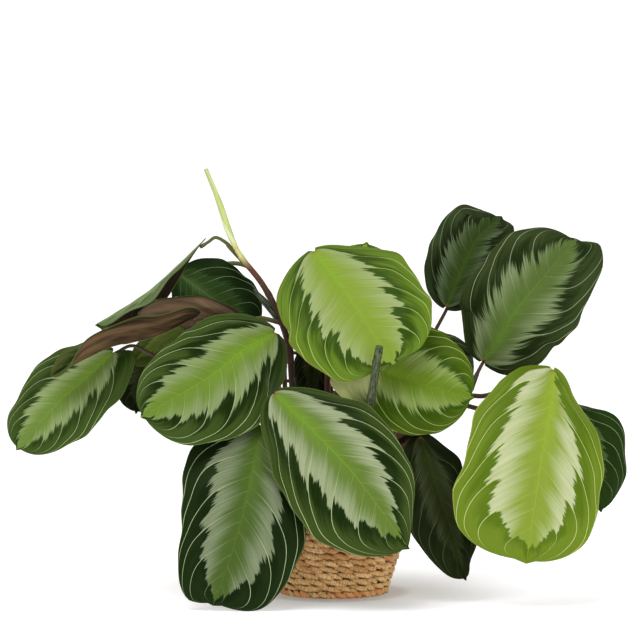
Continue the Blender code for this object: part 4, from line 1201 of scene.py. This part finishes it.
def crumbly(x, y):
    """The height of the potting mix's uneven surface."""
    lumps = (sin(x * 1500 + 3 * sin(y * 900)) * cos(y * 1700 + 2 * sin(x * 800))
             + 0.7 * sin(x * 3300 + y * 2900) + 0.5 * cos(x * 700 - y * 500))
    return SOIL_TOP + 0.42 * MM * lumps


def soil_object(made_of):
    """The crumbly surface of the potting mix over its plain lower body."""
    widest = POT_RIM_RADIUS - POT_WALL - 2.2 * MM
    bottom = BASKET_WALL + POT_WALL + 2 * CLEARANCE
    profile = [(0, SOIL_TOP)]
    profile += [(widest * ring / SOIL_RINGS, crumbly) for ring in range(1, SOIL_RINGS + 1)]
    profile += [(POT_BASE_RADIUS - POT_WALL - 2 * CLEARANCE, bottom), (0, bottom)]
    return turned_object("dressed_soil", profile, SOIL_SIDES, made_of, ALONG_FIRST)


# Stage

EYE = (-9.25, -2000, 270)
AIM = (-9.25, 0, 191)
LENS = 160.84
STAGE_GLOW = 0.54
STAGE_HALF_WIDTH = 12.0
STAGE_BACK = 2.2
STAGE_CURVE = 1.2
STAGE_TOP = 5.0
SOFTBOX = ("overhead_softbox", (-0.5, -0.9, 1.9), (0, 0, 0.15), 1.3)
FRONT_FILL = ("front_fill", (0.6, -2.1, 0.6), (0, 0, 0.10), 1.2)


def floor_material(plain):
    """Plain white that glows, less so near the pot and least round the basket's foot: a faint painted shadow
    and a painted contact shadow.
    """
    g = Skin("stage_white", 0.9, 0.1)
    g.feed(g.shader["Base Color"], plain)
    g.feed(g.shader["Emission Strength"], STAGE_GLOW)
    x, y, z = g.parts(g.position())
    from_pot = g.math("SQRT", x * x + y * y) + z * 4.0
    # Painted shadow: a grey glow near the pot that turns white further out, and a darker ring round the
    # basket's foot.
    glow = g.coats(colour(166, 172, 170), (g.step(from_pot, 0.04, 0.15), WHITE),
                   (g.step(from_pot, 0.046, 0.060, 1.0, 0.0), colour(110, 114, 110)))
    g.feed(g.shader["Emission Color"], glow)
    return g.material


def aimed(name, data, eye, target):
    """A light's or a camera's object at a place, turned to a target."""
    holder = bpy.data.objects.new(name, data)
    holder.location = eye
    holder.rotation_euler = (Vector(target) - Vector(eye)).to_track_quat("-Z", "Y").to_euler()
    bpy.context.scene.collection.objects.link(holder)
    return holder


def add_softbox(name, place, target, size, power):
    """A square light of the given size and power, turned to its target."""
    light = bpy.data.lights.new(name, "AREA")
    light.shape = "SQUARE"
    light.size = size
    light.energy = power
    aimed(name, light, place, target)


def make_stage(settings):
    """A pale floor that curves up behind, one large soft light above, a fill and the camera."""
    profile = [(-STAGE_HALF_WIDTH, 0.0), (STAGE_BACK, 0.0)]
    profile += [(STAGE_BACK + STAGE_CURVE * sin(radians(angle)),
                 STAGE_CURVE - STAGE_CURVE * cos(radians(angle))) for angle in range(6, 91, 6)]
    profile.append((STAGE_BACK + STAGE_CURVE, STAGE_TOP))
    points = [(x, y, z) for y, z in profile for x in (-STAGE_HALF_WIDTH, STAGE_HALF_WIDTH)]
    faces = [(2 * index, 2 * index + 1, 2 * index + 3, 2 * index + 2) for index in range(len(profile) - 1)]
    mould = Mould()
    mould.add(points, faces, [[(0, 0)] * 4 for _ in faces])
    floor = mould.cast("stage_floor", [floor_material(settings.floor)])

    scene = bpy.context.scene
    scene.world = bpy.data.worlds.new("soft_surround")
    scene.world.use_nodes = True
    background = scene.world.node_tree.nodes["Background"]
    background.inputs["Color"].default_value = (*WHITE, 1.0)
    background.inputs["Strength"].default_value = settings.surround
    add_softbox(*SOFTBOX, settings.overhead)
    add_softbox(*FRONT_FILL, settings.fill)

    camera = bpy.data.cameras.new("photo_view")
    camera.sensor_width = 36.0
    camera.lens = LENS
    camera.clip_start = 0.05
    camera.clip_end = 50.0
    scene.camera = aimed("photo_view", camera, *in_metres((EYE, AIM)))
    scene.view_settings.view_transform = "Standard"
    scene.view_settings.look = "None"


# Settings, operators and panel

def colour_setting(name, red, green, blue):
    """A colour that the sidebar shows as a swatch."""
    return bpy.props.FloatVectorProperty(
        name=name, description=name + " colour, before the finer tones that are mixed into it",
        default=colour(red, green, blue), subtype="COLOR", size=3, min=0.0, max=1.0)


def value_setting(name, description, default, **more):
    """A number that the sidebar shows with enough places for its size."""
    return bpy.props.FloatProperty(name=name, description=description, default=default, precision=5, **more)


class MarantaBladeSettings(bpy.types.PropertyGroup):
    """Sizes and tints that every blade shares"""

    blade_rows: bpy.props.IntProperty(
        name="Rows", description="Rows of faces from a blade's base to its tip", default=56)
    blade_strips: bpy.props.IntProperty(
        name="Strips", description="Strips of faces across a blade", default=36)
    blade_thickness: value_setting("Thickness", "Thickness of a blade at its midrib", 0.7 * MM, unit="LENGTH")
    pleat: value_setting("Quilting", "Rise of the blade between two main veins", 1.3 * MM, unit="LENGTH")
    ripple: value_setting("Ripple", "Unevenness of the margin, as a share of the half width", 0.022)
    upper_tint: colour_setting("Upper face tint", 255, 255, 255)
    lower_tint: colour_setting("Underside tint", 255, 255, 255)


class MarantaStemSettings(bpy.types.PropertyGroup):
    """Colours of the stems, the young leaves and the stake"""

    cane_foot: colour_setting("Stems, foot", 60, 42, 28)
    cane_top: colour_setting("Stems, top", 84, 66, 36)
    petiole: colour_setting("Petioles", 74, 56, 42)
    tall_top: colour_setting("Tall stem, top", 206, 204, 132)
    tall_petiole: colour_setting("Tall stem, petioles", 88, 90, 44)
    shoot: colour_setting("Rolled shoot", 196, 204, 130)
    furled: colour_setting("Furled leaf", 34, 44, 26)
    stake_dark: colour_setting("Stake, dark grain", 56, 66, 42)
    stake_light: colour_setting("Stake, light grain", 98, 110, 72)


class MarantaHolderSettings(bpy.types.PropertyGroup):
    """Colours of the basket, the nursery pot and the potting mix"""

    straw_dull: colour_setting("Straw, dull strands", 204, 146, 86)
    straw_bright: colour_setting("Straw, bright strands", 246, 203, 140)
    pot: colour_setting("Nursery pot", 20, 20, 21)
    soil_dark: colour_setting("Potting mix, dark", 30, 21, 15)
    soil_light: colour_setting("Potting mix, light", 74, 53, 36)


class MarantaStageSettings(bpy.types.PropertyGroup):
    """Strength of the lights and colour of the floor"""

    surround: value_setting("Surround", "Strength of the light from all round", 0.40)
    overhead: value_setting("Overhead", "Power of the large soft light above", 26.0, unit="POWER")
    fill: value_setting("Fill", "Power of the soft light in front", 15.0, unit="POWER")
    floor: colour_setting("Floor", 231, 231, 231)


class MarantaOperator:
    """What every operator of this file shares."""

    bl_options = {"REGISTER", "UNDO"}

    @staticmethod
    def seat(piece, slot, node):
        """The piece stands for its solid, which is hidden, and rides on the body; its slot is not used."""
        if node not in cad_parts:
            raise RuntimeError(f"the packed model has no solid {node} for {piece.name} to stand for")
        if not piece.data.polygons:
            raise RuntimeError(f"{piece.name} came out without a face")
        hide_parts(node)
        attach(piece, "root")


class MARANTA_OT_blades(MarantaOperator, bpy.types.Operator):
    """Makes every leaf blade"""

    bl_idname = "maranta.blades"
    bl_label = "Leaf blades"

    def execute(self, context):
        settings = context.scene.maranta_blades
        materials = blade_materials(settings.upper_tint, settings.lower_tint)
        for seed, blade in enumerate(BLADES, start=1):
            self.seat(blade_object(blade, seed, materials, settings), blade.slot, blade.name)
        return {"FINISHED"}


class MARANTA_OT_stems(MarantaOperator, bpy.types.Operator):
    """Makes the leafy stems with their petioles"""

    bl_idname = "maranta.stems"
    bl_label = "Stems"

    def execute(self, context):
        shades = context.scene.maranta_stems
        skin = stem_material("stem_skin", shades.cane_foot, shades.cane_top, shades.petiole)
        pale_topped = stem_material("stem_skin_pale_top", shades.cane_foot, shades.tall_top,
                                    shades.tall_petiole)
        for stem in STEMS:
            made_of = pale_topped if stem.name == "stem_tall" else skin
            self.seat(stem_object(stem, made_of), "stem_brown", stem.name)
        return {"FINISHED"}


class MARANTA_OT_young_leaves(MarantaOperator, bpy.types.Operator):
    """Makes the rolled shoot and the furled leaf"""

    bl_idname = "maranta.young_leaves"
    bl_label = "Young leaves"

    def execute(self, context):
        shades = context.scene.maranta_stems
        skin = shoot_material(shades.shoot)
        shoot = rolled_object("new_shoot", shoot_route(), SHOOT_RADII, skin)
        self.seat(shoot, "shoot_yellow_green", "new_shoot")
        skin = furled_material(shades.furled)
        furled = rolled_object("furled_leaf", in_metres(FURLED_ROUTE), FURLED_RADII, skin)
        self.seat(furled, "leaf_dark_green", "furled_leaf")
        return {"FINISHED"}


class MARANTA_OT_stake(MarantaOperator, bpy.types.Operator):
    """Makes the support stick"""

    bl_idname = "maranta.stake"
    bl_label = "Stake"

    def execute(self, context):
        shades = context.scene.maranta_stems
        wood = stake_material(shades.stake_dark, shades.stake_light)
        self.seat(stake_object(wood), "grey_wood", "stake")
        return {"FINISHED"}


class MARANTA_OT_basket(MarantaOperator, bpy.types.Operator):
    """Braids the basket row by row"""

    bl_idname = "maranta.basket"
    bl_label = "Basket"

    def execute(self, context):
        shades = context.scene.maranta_holder
        straw = straw_material(shades.straw_dull, shades.straw_bright)
        for band in basket_objects(straw):
            self.seat(band, "braided_straw", "basket")
        return {"FINISHED"}


class MARANTA_OT_pot_and_soil(MarantaOperator, bpy.types.Operator):
    """Makes the nursery pot and the potting mix in it"""

    bl_idname = "maranta.pot_and_soil"
    bl_label = "Pot and soil"

    def execute(self, context):
        shades = context.scene.maranta_holder
        self.seat(pot_object(plastic_material(shades.pot)), "black_plastic", "nursery_pot")
        mix = soil_material(shades.soil_dark, shades.soil_light)
        self.seat(soil_object(mix), "earth", "soil")
        return {"FINISHED"}


class MARANTA_OT_stage(MarantaOperator, bpy.types.Operator):
    """Sets the floor, the soft lights and the camera"""

    bl_idname = "maranta.stage"
    bl_label = "Stage"

    def execute(self, context):
        settings = context.scene.maranta_stage
        make_stage(settings)
        if context.scene.camera is None:
            raise RuntimeError("the stage came out without a camera")
        return {"FINISHED"}


class MARANTA_PT_sidebar(bpy.types.Panel):
    """Lists the plant's settings and the steps that make it"""

    bl_idname = "MARANTA_PT_sidebar"
    bl_label = "Potted maranta"
    bl_space_type = "VIEW_3D"
    bl_region_type = "UI"
    bl_category = "Maranta"

    def draw(self, context):
        for name in SETTINGS:
            group = getattr(context.scene, name)
            box = self.layout.box()
            for key in group.bl_rna.properties.keys():
                if key not in ("rna_type", "name"):
                    box.prop(group, key)
        for operator in OPERATORS:
            self.layout.operator(operator.bl_idname)


OPERATORS = (
    MARANTA_OT_basket,
    MARANTA_OT_pot_and_soil,
    MARANTA_OT_stake,
    MARANTA_OT_stems,
    MARANTA_OT_young_leaves,
    MARANTA_OT_blades,
    MARANTA_OT_stage,
)
SETTINGS = {
    "maranta_blades": MarantaBladeSettings,
    "maranta_stems": MarantaStemSettings,
    "maranta_holder": MarantaHolderSettings,
    "maranta_stage": MarantaStageSettings,
}


def register():
    for name, settings in SETTINGS.items():
        bpy.utils.register_class(settings)
        setattr(bpy.types.Scene, name, bpy.props.PointerProperty(type=settings))
    for operator in OPERATORS:
        bpy.utils.register_class(operator)
    bpy.utils.register_class(MARANTA_PT_sidebar)


def unregister():
    bpy.utils.unregister_class(MARANTA_PT_sidebar)
    for operator in reversed(OPERATORS):
        bpy.utils.unregister_class(operator)
    for name, settings in SETTINGS.items():
        delattr(bpy.types.Scene, name)
        bpy.utils.unregister_class(settings)


def main():
    """Makes every piece in turn."""
    register()
    bpy.ops.maranta.basket()
    bpy.ops.maranta.pot_and_soil()
    bpy.ops.maranta.stake()
    bpy.ops.maranta.stems()
    bpy.ops.maranta.young_leaves()
    bpy.ops.maranta.blades()
    bpy.ops.maranta.stage()


if __name__ == "__main__":
    main()
